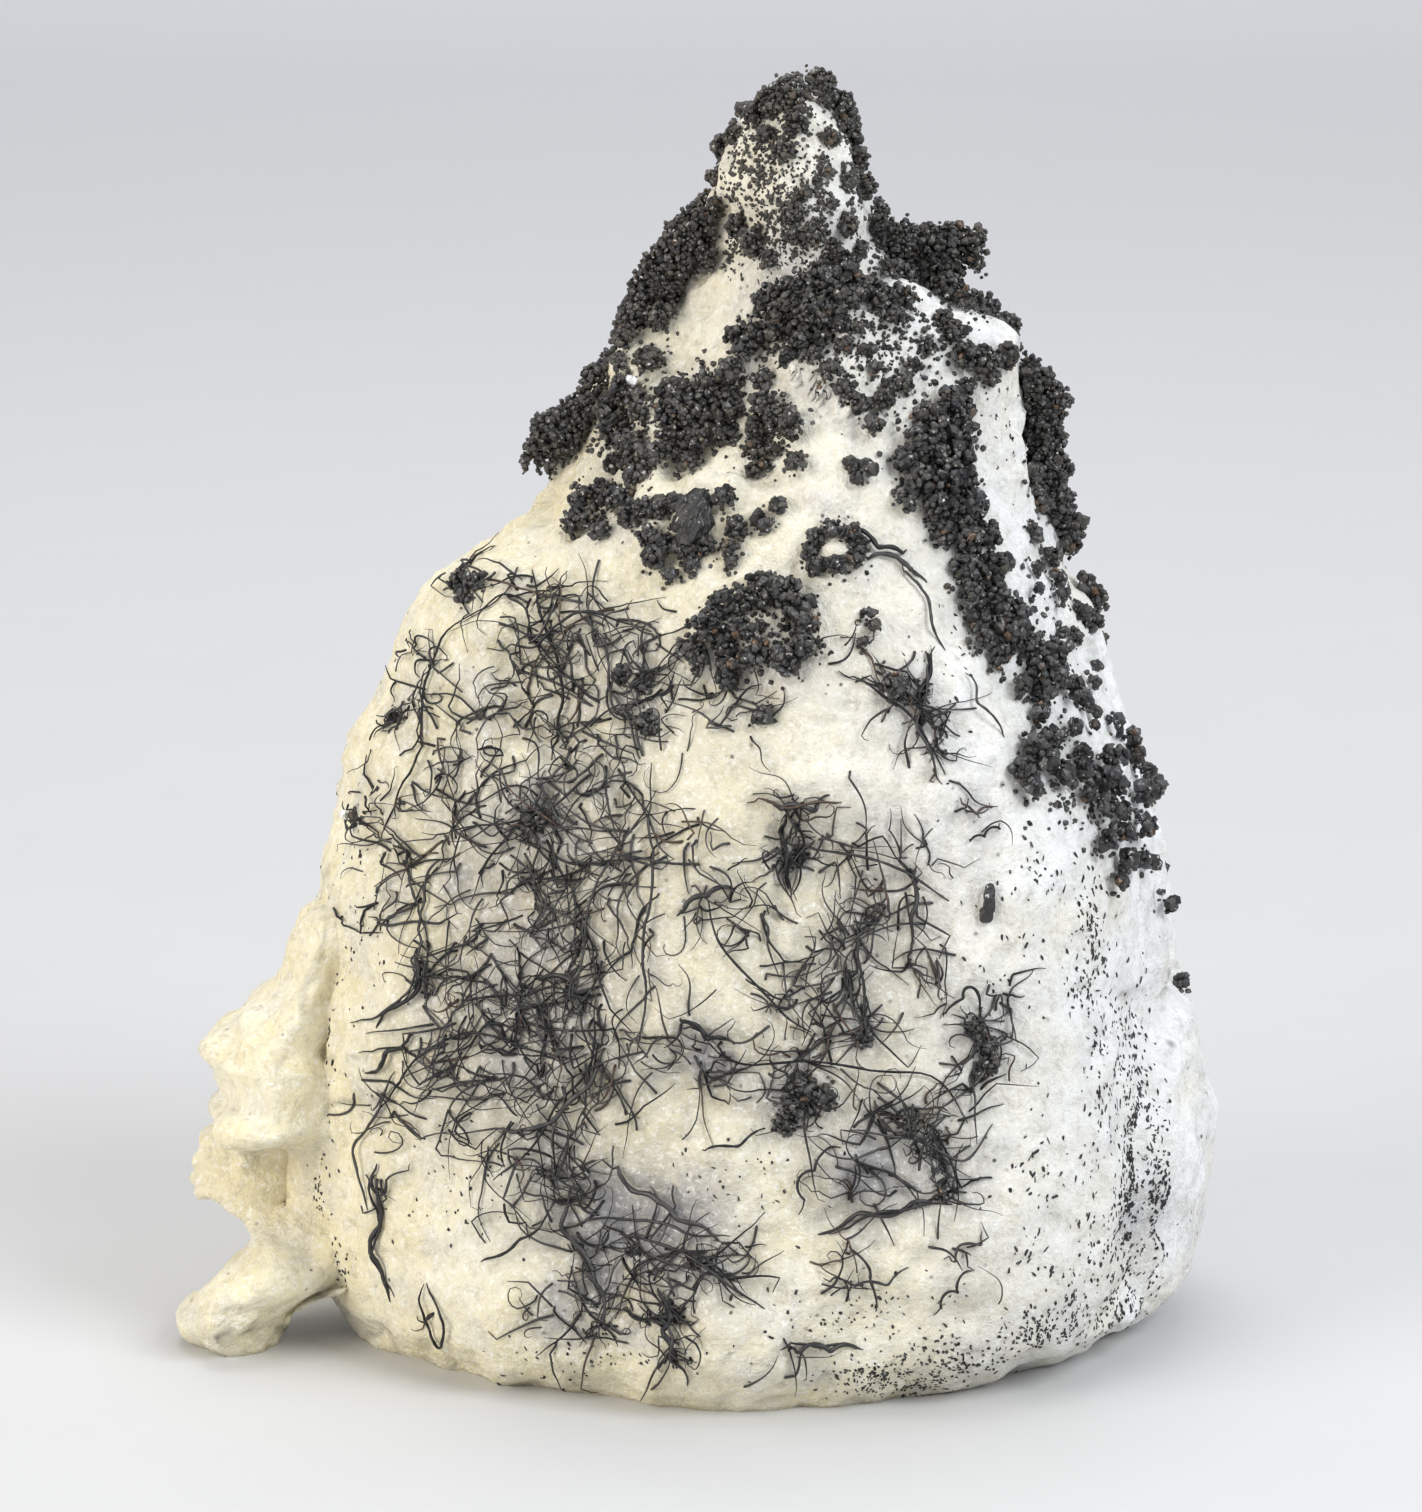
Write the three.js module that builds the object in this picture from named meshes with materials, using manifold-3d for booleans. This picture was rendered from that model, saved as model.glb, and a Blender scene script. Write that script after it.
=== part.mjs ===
// Native silver on a cream carbonate rock, a hand specimen about 125 mm tall.
// Units are millimetres, +Z is up, and the rock stands on its flat underside.
// The viewer looks along +Y and a little down at the broad face that leans back.
import * as THREE from "three";
import { mergeVertices } from "three/addons/utils/BufferGeometryUtils.js";
import Module from "manifold-3d";

const wasm = await Module();
wasm.setup();

// The viewer's window: a point on the face is given as mm across from the window's left edge
// and mm down from its top edge, as it is seen from the eye.
const eyeDistance = 600;
const eyeTilt = THREE.MathUtils.degToRad(12);
const windowCentre = { across: 71.1, down: 75.6 };
const aim = new THREE.Vector3(1.75, 11.7, 55.07);
const ahead = new THREE.Vector3(0, Math.cos(eyeTilt), -Math.sin(eyeTilt));
const upward = new THREE.Vector3(0, Math.sin(eyeTilt), Math.cos(eyeTilt));
const eye = aim.clone().addScaledVector(ahead, -eyeDistance);

// The origin lies under the middle of the specimen, and this moves the model there.
const centring = new THREE.Vector3(-0.3, 0, 0);

// Main block, by height: height, left edge, right edge.
const blockEdges = [
  [0, -33.5, 41.5], [2, -35, 45], [5, -36.3, 48.6], [11, -37.2, 51], [18, -37.6, 52.2],
  [25, -38, 51.6], [30, -38, 49.8], [37, -37.8, 47.4], [44, -37, 46], [52, -36.2, 44.8],
  [58, -35.2, 42.2], [62, -32.7, 40.6], [67, -30.3, 39.4], [72, -27.6, 38], [75, -24.8, 36.6],
  [78, -21.2, 35], [80.5, -17.5, 34], [83, -15.4, 32.8], [87, -13, 32], [92, -10.5, 31.3],
  [95, -8, 31.2], [97.7, -5.2, 31.2], [99.8, -3, 29.8], [101.8, -1.2, 25.5], [103.8, -0.2, 22.3],
  [107, 1, 18.6], [112, 2.2, 16.8], [116, 3, 16.1], [119, 4.3, 15], [121.5, 7, 12.5],
];

// Its front, by height: height, then how far along +Y the face lies at each share of the width.
const blockFrontShares = [0, 0.15, 0.35, 0.55, 0.75, 0.9, 1];
const blockFront = [
  [0, -12, -19, -25, -29.2, -25.5, -17.5, -7.5],
  [5, -13, -23, -30, -32.5, -29.5, -22, -11],
  [20, -14, -23, -31, -33, -31, -24, -12],
  [42, -12, -19, -27, -30, -28, -22, -10],
  [62, -8, -14, -22, -26, -24, -18, -8],
  [78, -4, -9, -16, -20, -18, -12, -5],
  [90, -2, -5, -10, -14, -12, -7, -3],
  [102, 0, -2, -6, -8, -6, -3, -1],
  [112, 0, -2, -4.5, -5.5, -4.5, -2.5, 0],
  [121.5, 2, 1, -0.5, -1.5, -1, 0, 1],
];
const blockBackShares = [0, 0.25, 0.5, 0.75, 1];
const blockBack = [
  [0, 16, 24, 27, 24, 15],
  [6, 19, 29, 32, 29, 18],
  [30, 19, 29, 33, 30, 18],
  [60, 17, 26, 29, 26, 15],
  [85, 12, 18, 20, 17, 11],
  [102, 9, 12, 13, 12, 8],
  [112, 8, 10, 10.5, 10, 8],
  [121.5, 6, 6.5, 7, 6.5, 6],
];
const blockRim = [[0, -4], [12, 5], [121.5, 5]];

// The foot at the left, with a hollow under its brow and a toe that reaches the ground.
const footEdges = [
  [0, -49.5, -40.5], [1, -50.6, -40.3], [2.8, -51.2, -40], [4.6, -50, -38], [6, -48.8, -34.5],
  [8, -46.2, -32], [10, -44, -31], [11.5, -45, -30], [13, -49, -30], [15, -49.4, -30],
  [18, -48.6, -30], [21, -46.6, -30], [24.5, -45.4, -30], [26.5, -45.8, -30], [28.5, -47.4, -30],
  [30, -47, -30], [32, -45, -30], [34, -42.7, -30], [37, -40.6, -30], [41, -38.8, -30],
  [44, -36, -31],
];
const footFrontShares = [0, 0.3, 0.6, 1];
const footFront = [
  [0, -10, -13, -13.5, -11],
  [6, -14, -16.5, -17, -14],
  [10, -13, -15, -16, -14],
  [14, -9, -9, -10, -14],
  [19, -10, -11, -11, -14],
  [22, -13, -15, -16, -17],
  [30, -8, -12, -16, -18],
  [44, -3, -6, -8, -10],
];
const footBackShares = [0, 0.5, 1];
const footBack = [
  [0, -5, -2, -5],
  [6, -5, 0, -2],
  [14, 2, 10, 10],
  [30, 6, 14, 14],
  [44, 4, 8, 8],
];
const footRim = [[0, -8], [9, -12], [13, -6], [20, -5], [30, 0], [44, 0]];

// Hollows and humps on the face: across, down, radius, and depth, which is negative on a hump.
const hollows = [
  [60, 124, 7, 3], [69.5, 108, 5.5, 2], [84, 87, 8, 2.2], [80, 72, 4, 1], [82.5, 67, 5, -1.2],
  [104, 82, 8, -2], [44, 101, 7, -1.5], [69, 33.5, 6, -2.5], [58, 47.5, 5, 1.5],
  [76, 46.5, 6, 2], [72, 50.5, 4, -1], [91, 117, 5, 1.5], [72, 135, 5, -1.5], [45, 118, 5, 1],
  [96, 103, 5, 1], [57, 96, 8, -1],
];
// Ledges: points across and down, then the drop beyond the edge and how far that drop reaches.
const ledges = [
  { edge: [[71.2, 21.5], [69, 29], [65.2, 34.5], [65.5, 38.5], [65.8, 45]], drop: 4, reach: 9 },
  { edge: [[52, 51], [50.5, 62], [49, 70]], drop: 2, reach: 8 },
  { edge: [[116, 128], [117.5, 112], [118, 99]], drop: 3, reach: 6 },
];
const ledgeSoftness = 0.9;
const ledgeFade = 3;

// Broad unevenness: wavelength and height of each layer of noise, and the broken back's own.
const unevenness = [[22, 1.6], [9, 0.8]];
const backUnevenness = [[17, 3], [8, 1.3]];

// Silver crusts: lumps given as across, down and radius.
const crusts = {
  crown_crust: [
    [79.6, 10.2, 2.8], [81.4, 9, 1.8], [76.6, 12.2, 2.2], [82.4, 12.2, 2.5], [84, 15.4, 2.1],
    [83.8, 18.6, 2.3], [84.2, 21.8, 2],
  ],
  left_shoulder_crust: [
    [70.4, 22.6, 2.2], [68.4, 25.8, 2.7], [66.4, 29, 3], [65.4, 32.4, 2.6],
  ],
  left_band_crust: [
    [62.6, 37.6, 2.5], [59.4, 40.2, 2.8], [56.4, 43.4, 2.7], [62.8, 41, 2.6], [60.4, 43.8, 2.8],
    [63.4, 44.6, 2.3],
  ],
  middle_crust: [
    [75, 36.2, 2.5], [71.6, 38.6, 2.7], [68.4, 41, 2.9], [71.4, 42.4, 2.9], [68.4, 44.8, 2.6],
    [74.8, 42.2, 2.6], [78, 42.6, 2.7], [77, 45.4, 2.1],
  ],
  upper_ridge_crust: [
    [77.6, 31.2, 2.5], [80.8, 29, 2.9], [84.2, 28.2, 2.8], [83.4, 31.6, 2.8], [84.8, 35, 2.4],
    [86.4, 37.8, 2.2], [87.6, 30.6, 2.1],
  ],
  right_shoulder_crust: [
    [93.6, 25.2, 2.6], [92.6, 28.4, 2.6], [94.2, 31.6, 2.6], [95.8, 34.6, 2.5], [98.6, 36.4, 2.3],
  ],
  ridge_band_crust: [
    [92, 41.6, 2.4], [95.2, 42.6, 2.4], [91, 45, 2.7], [94.2, 46, 3.2], [91.6, 49, 2.4],
    [94.8, 50, 3], [97.4, 53, 2.4], [96.2, 55.6, 3.1], [97.6, 59.4, 3.2], [99.4, 61, 2.2],
    [100.4, 63.8, 3.1], [103.4, 66.2, 3], [102.2, 68.6, 2], [106.4, 69.4, 2.6],
    [108.4, 71.4, 1.8],
  ],
  right_edge_crust: [
    [102.8, 38.8, 2.4], [104, 42, 2.7], [103.8, 45.6, 2.6], [104.4, 49, 2.7], [104.8, 52.4, 2.8],
  ],
  edge_knob: [[108, 59.6, 2.1], [108.4, 62.6, 2.1]],
  outer_right_crust: [
    [103.2, 75.6, 2.6], [106.2, 77.8, 2.5], [109.4, 78.2, 2.7], [112.8, 79.8, 2.7],
    [111.6, 83, 2.6], [112.6, 86, 2.3],
  ],
  lower_band_crust: [[58.8, 51.4, 2.6], [61.8, 50.6, 2.3], [60, 53.6, 1.9]],
  centre_crust: [[66.8, 53.4, 2.5], [69.8, 52.4, 2.9], [72.6, 51.2, 2.1], [69.6, 55.6, 2.3]],
  hooked_crust: [[82, 55.2, 2.2], [84.6, 54.6, 2.1]],
  knob_crust: [
    [72.8, 62.2, 2.7], [75.8, 60.2, 2.6], [79.4, 60.6, 2.7], [80.4, 64.2, 2.6], [77.4, 66.6, 2.5],
    [73.8, 65.6, 2.5], [70.8, 64.6, 1.9],
  ],
  lower_knot: [[79.2, 110.8, 2.3], [81.6, 109.8, 2.3]],
  right_knot: [[98, 103, 1.8], [98.8, 105.8, 1.9]],
  left_knot: [[46, 58.4, 1.6], [47.8, 58.2, 1.9]],
};
const crustLift = 0.3;
const linkReach = 0.8;
const lumpUnevenness = 0.14;
const cornerSteps = 40;

// Silver wires: the main strands of each mat, given as points across and down.
const wires = {
  left_flank_wires: [
    [[49, 60.5], [45.5, 63], [43.5, 68], [42, 75], [39.6, 80], [38, 84]],
    [[40, 66], [43.5, 66.5], [46.5, 64]],
    [[38.5, 72], [42.6, 71.5], [45.5, 73.5]],
    [[36, 81], [39.6, 80], [43.5, 82.5]],
    [[38.6, 82.5], [41.5, 88], [42.5, 94.5], [40, 99], [36.5, 102]],
    [[37, 92], [41.6, 92.5], [46, 91.5]],
  ],
  upper_left_wires: [
    [[53, 57], [55, 63], [56.5, 69], [55, 76]],
    [[49, 65], [54.5, 64.5], [60, 61.5], [65, 63.5]],
    [[58, 60], [60.5, 65], [62.5, 71], [64.5, 76]],
    [[50, 72], [56, 71], [62, 72], [67, 69.5]],
    [[47, 79.5], [51, 75.5], [56, 74.6], [61, 75.5]],
  ],
  left_wires: [
    [[65.5, 79], [62.5, 84], [60, 90], [58, 97], [56, 104]],
    [[52, 84], [57, 86], [61, 86.5], [66, 85]],
    [[51, 90], [54, 96], [53.5, 103], [50, 109]],
    [[45, 99.5], [49, 100], [55, 99], [61, 101]],
    [[66, 87], [65, 95], [64.3, 104]],
    [[57, 95], [62, 96.5], [66.5, 97.5]],
    [[37, 112], [42, 106], [47, 103.5], [52, 104.5], [58, 106]],
    [[60, 100], [58.5, 107], [55, 112], [50, 118]],
    [[39, 107], [37.5, 113], [38, 121], [38.8, 129]],
  ],
  centre_wires: [
    [[75, 80], [79, 80.2], [84, 79.8]],
    [[79, 78.5], [78.8, 84], [79.4, 90]],
    [[79, 84.5], [84, 85], [90, 87], [95, 90]],
    [[69, 83], [72.5, 88], [75, 94], [79, 98], [84, 101]],
    [[86, 86], [85.5, 93], [85.8, 98], [86.2, 103]],
    [[79, 100], [85.5, 98.5], [91.5, 97.5]],
    [[69, 91], [74, 89], [79.2, 87]],
  ],
  tuft_wires: [
    [[84, 67], [89, 70], [92.5, 73.5], [94.5, 77.5]],
    [[93, 65.5], [91.5, 71], [90.5, 76]],
    [[86.5, 72], [90.8, 72.6], [95, 73]],
  ],
  lower_wires: [
    [[56, 116], [57.5, 121], [59.5, 127], [62, 133]],
    [[56.5, 123], [61, 121.5], [66.5, 122.5], [73, 124]],
    [[60, 128], [64.5, 126.5], [69.5, 125], [74, 129.5]],
    [[53, 131], [59.5, 131.5], [66, 131], [70, 134]],
    [[67, 119], [67.6, 125], [67.4, 131], [67.2, 136]],
  ],
  right_wires: [
    [[68, 102.5], [73, 105.5], [80, 106.5], [86.5, 106.5], [93, 108], [96.5, 112]],
    [[87.5, 105.6], [87.5, 109], [85.5, 115], [80, 120.5]],
    [[85, 113], [91, 113.5], [96, 116], [99.5, 112.5]],
    [[83, 118.5], [89, 119.5], [95, 119], [95.5, 114]],
  ],
};
const wireWidth = 1;
const wireLift = 1.3;
const wireSpacing = 7;
const clearance = 0.3;

// A smooth curve through the rows of a table, where a row is a position and its values.
function follow(rows, at) {
  let k = 0;
  while (k < rows.length - 2 && at > rows[k + 1][0]) k += 1;
  const slope = (i, j) => {
    const low = rows[Math.max(i - 1, 0)];
    const high = rows[Math.min(i + 1, rows.length - 1)];
    return (high[j] - low[j]) / (high[0] - low[0]);
  };
  const step = rows[k + 1][0] - rows[k][0];
  const t = THREE.MathUtils.clamp((at - rows[k][0]) / step, 0, 1);
  const rise = t * t * (3 - 2 * t);
  const out = t * (1 - t) * (1 - t) * step;
  const into = t * t * (t - 1) * step;
  return rows[k].slice(1).map((value, j) => {
    const next = rows[k + 1][j + 1];
    return value + (next - value) * rise + slope(k, j + 1) * out + slope(k + 1, j + 1) * into;
  });
}

// A number from -1 to 1 that is always the same at the same whole-numbered place.
function chance(i, j, k) {
  let h = Math.imul(i, 374761393) ^ Math.imul(j, 668265263) ^ Math.imul(k, 1274126177);
  h = Math.imul(h ^ (h >>> 13), 1103515245);
  h = (h ^ (h >>> 16)) >>> 0;
  return (h / 4294967295) * 2 - 1;
}

// Smooth noise: chance values at the corners of a unit cube, eased towards each other.
function noise(x, y, z) {
  const corner = [Math.floor(x), Math.floor(y), Math.floor(z)];
  const ease = [x, y, z].map((v, n) => (v - corner[n]) ** 2 * (3 - 2 * (v - corner[n])));
  let sum = 0;
  for (let n = 0; n < 8; n += 1) {
    const bit = [n & 1, (n >> 1) & 1, n >> 2];
    const share = bit.reduce((w, b, m) => w * (b ? ease[m] : 1 - ease[m]), 1);
    sum += share * chance(corner[0] + bit[0], corner[1] + bit[1], corner[2] + bit[2]);
  }
  return sum;
}

// Where on the upright plane at that depth the eye sees a place in the window.
function sightPoint(across, down, depth) {
  const ray = aim.clone();
  ray.x += across - windowCentre.across;
  ray.addScaledVector(upward, windowCentre.down - down).sub(eye);
  return eye.clone().addScaledVector(ray, (depth - eye.y) / ray.y);
}

// The smooth section of a form: turn runs 0 to 1 over the front and 1 to 2 over the back.
const rimRoundness = 8;
function smoothPoint(form, turn, height) {
  const [left, right] = follow(form.edges, height);
  const [rim] = follow(form.rim, height);
  const front = turn <= 1;
  const share = (1 - Math.cos(Math.PI * turn)) / 2;
  const table = front ? form.front : form.back;
  const shares = front ? form.frontShares : form.backShares;
  const depths = follow(table, height).map((depth, n) => [shares[n], depth]);
  const fullness = Math.sqrt(Math.max(0, 1 - Math.abs(2 * share - 1) ** rimRoundness));
  const depth = rim + (follow(depths, share)[0] - rim) * fullness;
  return new THREE.Vector3(left + (right - left) * share, depth, height);
}

const block = {
  edges: blockEdges, rim: blockRim, front: blockFront, frontShares: blockFrontShares,
  back: blockBack, backShares: blockBackShares, axis: (height) => [4 + height * 0.04, 2],
};
const foot = {
  edges: footEdges, rim: footRim, front: footFront, frontShares: footFrontShares,
  back: footBack, backShares: footBackShares, axis: () => [-40, -5],
};

// Where the eye's line through a place in the window meets the smooth front of the block.
function seenOnFace(across, down) {
  let found = sightPoint(across, down, -20);
  for (let n = 0; n < 12; n += 1) {
    const height = THREE.MathUtils.clamp(found.z, 0, 121.5);
    const [left, right] = follow(block.edges, height);
    const share = THREE.MathUtils.clamp((found.x - left) / (right - left), 0.004, 0.996);
    const turn = Math.acos(1 - 2 * share) / Math.PI;
    const onRock = smoothPoint(block, turn, height);
    found = sightPoint(across, down, onRock.y);
    found.turn = turn;
    found.height = height;
    found.beyond = found.clone().sub(onRock);
  }
  return found;
}

const hollowSpots = hollows.map(([across, down, radius, depth]) => {
  const { x, z } = seenOnFace(across, down);
  return { x, z, radius, depth };
});
const ledgeLines = ledges.map((ledge) => ({
  ...ledge,
  edge: ledge.edge.map(([across, down]) => seenOnFace(across, down)),
}));

// How far a ledge sets the face back at x, z: a step at the edge that fades away from it.
function ledgeDrop(ledge, x, z) {
  let nearest = { distance: Infinity, side: 0, over: 0 };
  for (let n = 1; n < ledge.edge.length; n += 1) {
    const a = ledge.edge[n - 1];
    const b = ledge.edge[n];
    const along = [b.x - a.x, b.z - a.z];
    const length = Math.hypot(...along);
    const raw = ((x - a.x) * along[0] + (z - a.z) * along[1]) / length;
    const over = Math.max(-raw, raw - length, 0);
    const side = ((x - a.x) * along[1] - (z - a.z) * along[0]) / length;
    const distance = Math.hypot(side, over);
    if (distance < nearest.distance) nearest = { distance, side: -side, over };
  }
  const step = THREE.MathUtils.smoothstep(nearest.side, -ledgeSoftness, ledgeSoftness);
  const fade = Math.exp(-Math.max(nearest.side, 0) / ledge.reach);
  return ledge.drop * step * fade * Math.exp(-((nearest.over / ledgeFade) ** 2));
}

function layeredNoise(layers, { x, y, z }) {
  return layers.reduce((sum, [wave, height]) => {
    return sum + height * noise(x / wave, y / wave, z / wave);
  }, 0);
}

// How far the rock stands out from its smooth section. Only the broad front has the hollows,
// humps and ledges, and the back is rougher the farther round it is.
function relief(point, form, turn) {
  const { x, z } = point;
  let out = layeredNoise(unevenness, point);
  if (form !== block) return out;
  if (turn >= 1) return out + Math.sin(Math.PI * (turn - 1)) * layeredNoise(backUnevenness, point);
  for (const spot of hollowSpots) {
    const reach = Math.hypot(x - spot.x, z - spot.z) / spot.radius;
    out -= spot.depth * Math.exp(-reach * reach);
  }
  for (const ledge of ledgeLines) out -= ledgeDrop(ledge, x, z);
  return out;
}

// A point of the rock, pushed out from the form's upright axis by the relief.
function rockPoint(form, turn, height, swell = 0) {
  const point = smoothPoint(form, turn, height);
  const [axisX, axisY] = form.axis(height);
  const outward = new THREE.Vector3(point.x - axisX, point.y - axisY, 0).normalize();
  return point.addScaledVector(outward, relief(point, form, turn) + swell);
}

// The rock's surface under a place in the window, and the way that it faces there.
// A place beyond the rock's outline keeps its distance from the edge.
function seatAt(across, down) {
  const { turn, height, beyond } = seenOnFace(across, down);
  const nudge = 0.01;
  const place = rockPoint(block, turn, height).add(beyond);
  const round = rockPoint(block, turn + nudge, height);
  const raised = rockPoint(block, turn, height + 1);
  round.sub(rockPoint(block, turn - nudge, height));
  raised.sub(rockPoint(block, turn, height - 1));
  return { place, facing: round.cross(raised).normalize() };
}

// A closed solid from rings of points, each joined to the next, with its two ends filled in.
function ringSolid(rings) {
  const around = rings[0].length;
  const points = rings.flat();
  const faces = [];
  for (let row = 0; row < rings.length - 1; row += 1) {
    for (let n = 0; n < around; n += 1) {
      const a = row * around + n;
      const b = row * around + ((n + 1) % around);
      faces.push(a, b, b + around, a, b + around, a + around);
    }
  }
  for (const [row, order] of [[0, -1], [rings.length - 1, 1]]) {
    const middle = new THREE.Vector3();
    rings[row].forEach((p) => middle.addScaledVector(p, 1 / around));
    points.push(middle);
    for (let n = 0; n < around; n += 1) {
      const pair = [row * around + n, row * around + ((n + 1) % around)];
      faces.push(...(order > 0 ? pair : pair.reverse()), points.length - 1);
    }
  }
  const geometry = new THREE.BufferGeometry().setFromPoints(points);
  geometry.setIndex(faces);
  return geometry;
}

function toSolid(geometry) {
  const bare = geometry.clone();
  bare.deleteAttribute("normal");
  bare.deleteAttribute("uv");
  const merged = mergeVertices(bare, 1e-4);
  const mesh = new wasm.Mesh({
    numProp: 3,
    vertProperties: new Float32Array(merged.attributes.position.array),
    triVerts: new Uint32Array(merged.index.array),
  });
  return new wasm.Manifold(mesh);
}

function toGeometry(solid) {
  const mesh = solid.getMesh();
  const geometry = new THREE.BufferGeometry();
  geometry.setAttribute("position", new THREE.BufferAttribute(mesh.vertProperties, 3));
  geometry.setIndex(new THREE.BufferAttribute(mesh.triVerts, 1));
  return geometry;
}

// A form's solid: level rings up its height, with more points over the front than the back.
function formSolid(form, grid, swell = 0) {
  const top = form.edges[form.edges.length - 1][0];
  const rings = [];
  for (let row = 0; row <= grid.rows; row += 1) {
    const height = (top * row) / grid.rows;
    const ring = [];
    for (let n = 0; n < grid.front; n += 1) {
      ring.push(rockPoint(form, n / grid.front, height, swell));
    }
    for (let n = 0; n < grid.back; n += 1) {
      ring.push(rockPoint(form, 1 + n / grid.back, height, swell));
    }
    rings.push(ring);
  }
  return toSolid(ringSolid(rings));
}

const blockGrid = { rows: 30, front: 22, back: 12 };
const footGrid = { rows: 16, front: 9, back: 6 };
function makeRock(swell = 0) {
  return formSolid(block, blockGrid, swell).add(formSolid(foot, footGrid, swell));
}

// One uneven lump of silver: twenty flat facets whose corners stand in or out a little.
function lumpSolid(place, radius, swell, seed) {
  const size = radius + swell;
  const ball = new THREE.IcosahedronGeometry(size);
  ball.rotateX(seed * 1.7);
  ball.rotateZ(seed * 2.3);
  const spots = ball.attributes.position;
  const spot = new THREE.Vector3();
  for (let n = 0; n < spots.count; n += 1) {
    spot.fromBufferAttribute(spots, n);
    const pitch = [spot.x, spot.y, spot.z].map((v) => Math.round((v / size) * cornerSteps) + seed);
    spot.multiplyScalar(1 + lumpUnevenness * chance(...pitch)).add(place);
    spots.setXYZ(n, spot.x, spot.y, spot.z);
  }
  return toSolid(ball);
}

// Lumps sit on the rock, and one that is too far from the others is linked by one between.
function crustSolid(lumps, swell = 0) {
  const placed = [];
  for (const [across, down, radius] of lumps) {
    const { place, facing } = seatAt(across, down);
    place.addScaledVector(facing, radius * crustLift);
    const apart = (other) => place.distanceTo(other.place) / (radius + other.radius);
    const nearest = placed.reduce((a, b) => (a && apart(a) < apart(b) ? a : b), null);
    if (nearest && apart(nearest) > linkReach) {
      const between = place.clone().lerp(nearest.place, 0.5);
      placed.push({ place: between, radius: (radius + nearest.radius) / 2 });
    }
    placed.push({ place, radius });
  }
  return wasm.Manifold.union(placed.map(({ place, radius }, n) => {
    return lumpSolid(place, radius, swell, n * 7 + lumps.length);
  }));
}

// One strand: a square section along a smooth curve that follows the rock.
function strandSolid(points, swell) {
  const spine = new THREE.CatmullRomCurve3(points.map(([a, d]) => new THREE.Vector3(a, d, 0)));
  const steps = Math.max(2, Math.round(spine.getLength() / wireSpacing));
  const laid = spine.getSpacedPoints(steps).map(({ x, y }) => {
    const { place, facing } = seatAt(x, y);
    return place.addScaledVector(facing, wireLift);
  });
  const half = wireWidth / 2 + swell;
  const section = new THREE.Shape();
  section.moveTo(-half, -half);
  section.lineTo(half, -half);
  section.lineTo(half, half);
  section.lineTo(-half, half);
  const path = new THREE.CatmullRomCurve3(laid);
  const settings = { steps, bevelEnabled: false, extrudePath: path };
  return toSolid(new THREE.ExtrudeGeometry(section, settings));
}

function matSolid(strands, swell = 0) {
  return wasm.Manifold.union(strands.map((points) => strandSolid(points, swell)));
}

const rockFinish = new THREE.MeshStandardMaterial({ color: 0xe6deca, roughness: 0.85 });
const crustFinish = new THREE.MeshStandardMaterial({
  color: 0x2c2d31, roughness: 0.5, metalness: 0.6,
});
const wireFinish = new THREE.MeshStandardMaterial({
  color: 0x38373a, roughness: 0.4, metalness: 0.8,
});

const specimen = new THREE.Group();
specimen.position.copy(centring);

// A cut can leave crumbs beside the main body, and they are dropped.
function mainBody(solid) {
  return solid.decompose().reduce((a, b) => (a.volume() > b.volume() ? a : b));
}

function addPiece(name, solid, finish) {
  const piece = new THREE.Mesh(toGeometry(mainBody(solid)), finish);
  piece.name = name;
  specimen.add(piece);
}

// Each piece of silver is cut to the rock and to the pieces before it, a small gap clear of them.
addPiece("rock", makeRock(), rockFinish);
const taken = [makeRock(clearance)];
function addSilver(pieces, makeSolid, finish) {
  for (const [name, layout] of Object.entries(pieces)) {
    const solid = taken.reduce((left, other) => left.subtract(other), makeSolid(layout));
    addPiece(name, solid, finish);
    taken.push(makeSolid(layout, clearance));
  }
}
addSilver(crusts, crustSolid, crustFinish);
addSilver(wires, matSolid, wireFinish);

export default specimen;
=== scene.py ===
# Native silver: curly hair wires and granular crusts on a pale carbonate rock, 125 mm tall.
import bpy
import numpy as np
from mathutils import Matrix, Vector


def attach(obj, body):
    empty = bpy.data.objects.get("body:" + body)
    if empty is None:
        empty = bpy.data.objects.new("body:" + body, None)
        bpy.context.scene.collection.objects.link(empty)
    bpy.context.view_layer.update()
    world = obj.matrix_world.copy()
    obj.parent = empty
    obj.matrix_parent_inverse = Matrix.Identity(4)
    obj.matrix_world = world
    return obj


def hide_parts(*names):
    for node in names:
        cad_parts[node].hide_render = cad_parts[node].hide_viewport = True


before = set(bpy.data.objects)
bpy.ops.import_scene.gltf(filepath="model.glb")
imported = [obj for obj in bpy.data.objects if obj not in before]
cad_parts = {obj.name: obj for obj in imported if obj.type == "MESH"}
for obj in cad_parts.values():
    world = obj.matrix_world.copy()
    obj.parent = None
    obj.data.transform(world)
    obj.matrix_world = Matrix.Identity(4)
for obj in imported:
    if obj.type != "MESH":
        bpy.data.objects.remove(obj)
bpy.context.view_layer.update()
print("frame loaded")

# Shapes are worked out in millimetres, with +Z up and the viewer looking along +Y, and moved
# into the frame's metres when a mesh is made. A place on the face is given as mm across and mm
# down the viewer's window, which is 142.2 mm wide and 151.2 mm tall.
mm = 0.001
centring = np.array([-0.3, 0.0, 0.0])
window = {"width": 142.2, "height": 151.2, "distance": 600.0, "tilt": np.radians(12)}
aim = np.array([1.75, 11.7, 55.07])
goldenAngle = 2.39996
seeds = {"crusts": 100, "backLumps": 140, "backCrusts": 141, "wires": 300, "ticks": 500}
rightward = np.array([1.0, 0.0, 0.0])
ahead = np.array([0.0, np.cos(window["tilt"]), -np.sin(window["tilt"])])
upward = np.array([0.0, np.sin(window["tilt"]), np.cos(window["tilt"])])
eye = aim - window["distance"] * ahead


def toFrame(points):  # millimetres of the model to metres of the frame
    return (points + centring) * mm


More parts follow.
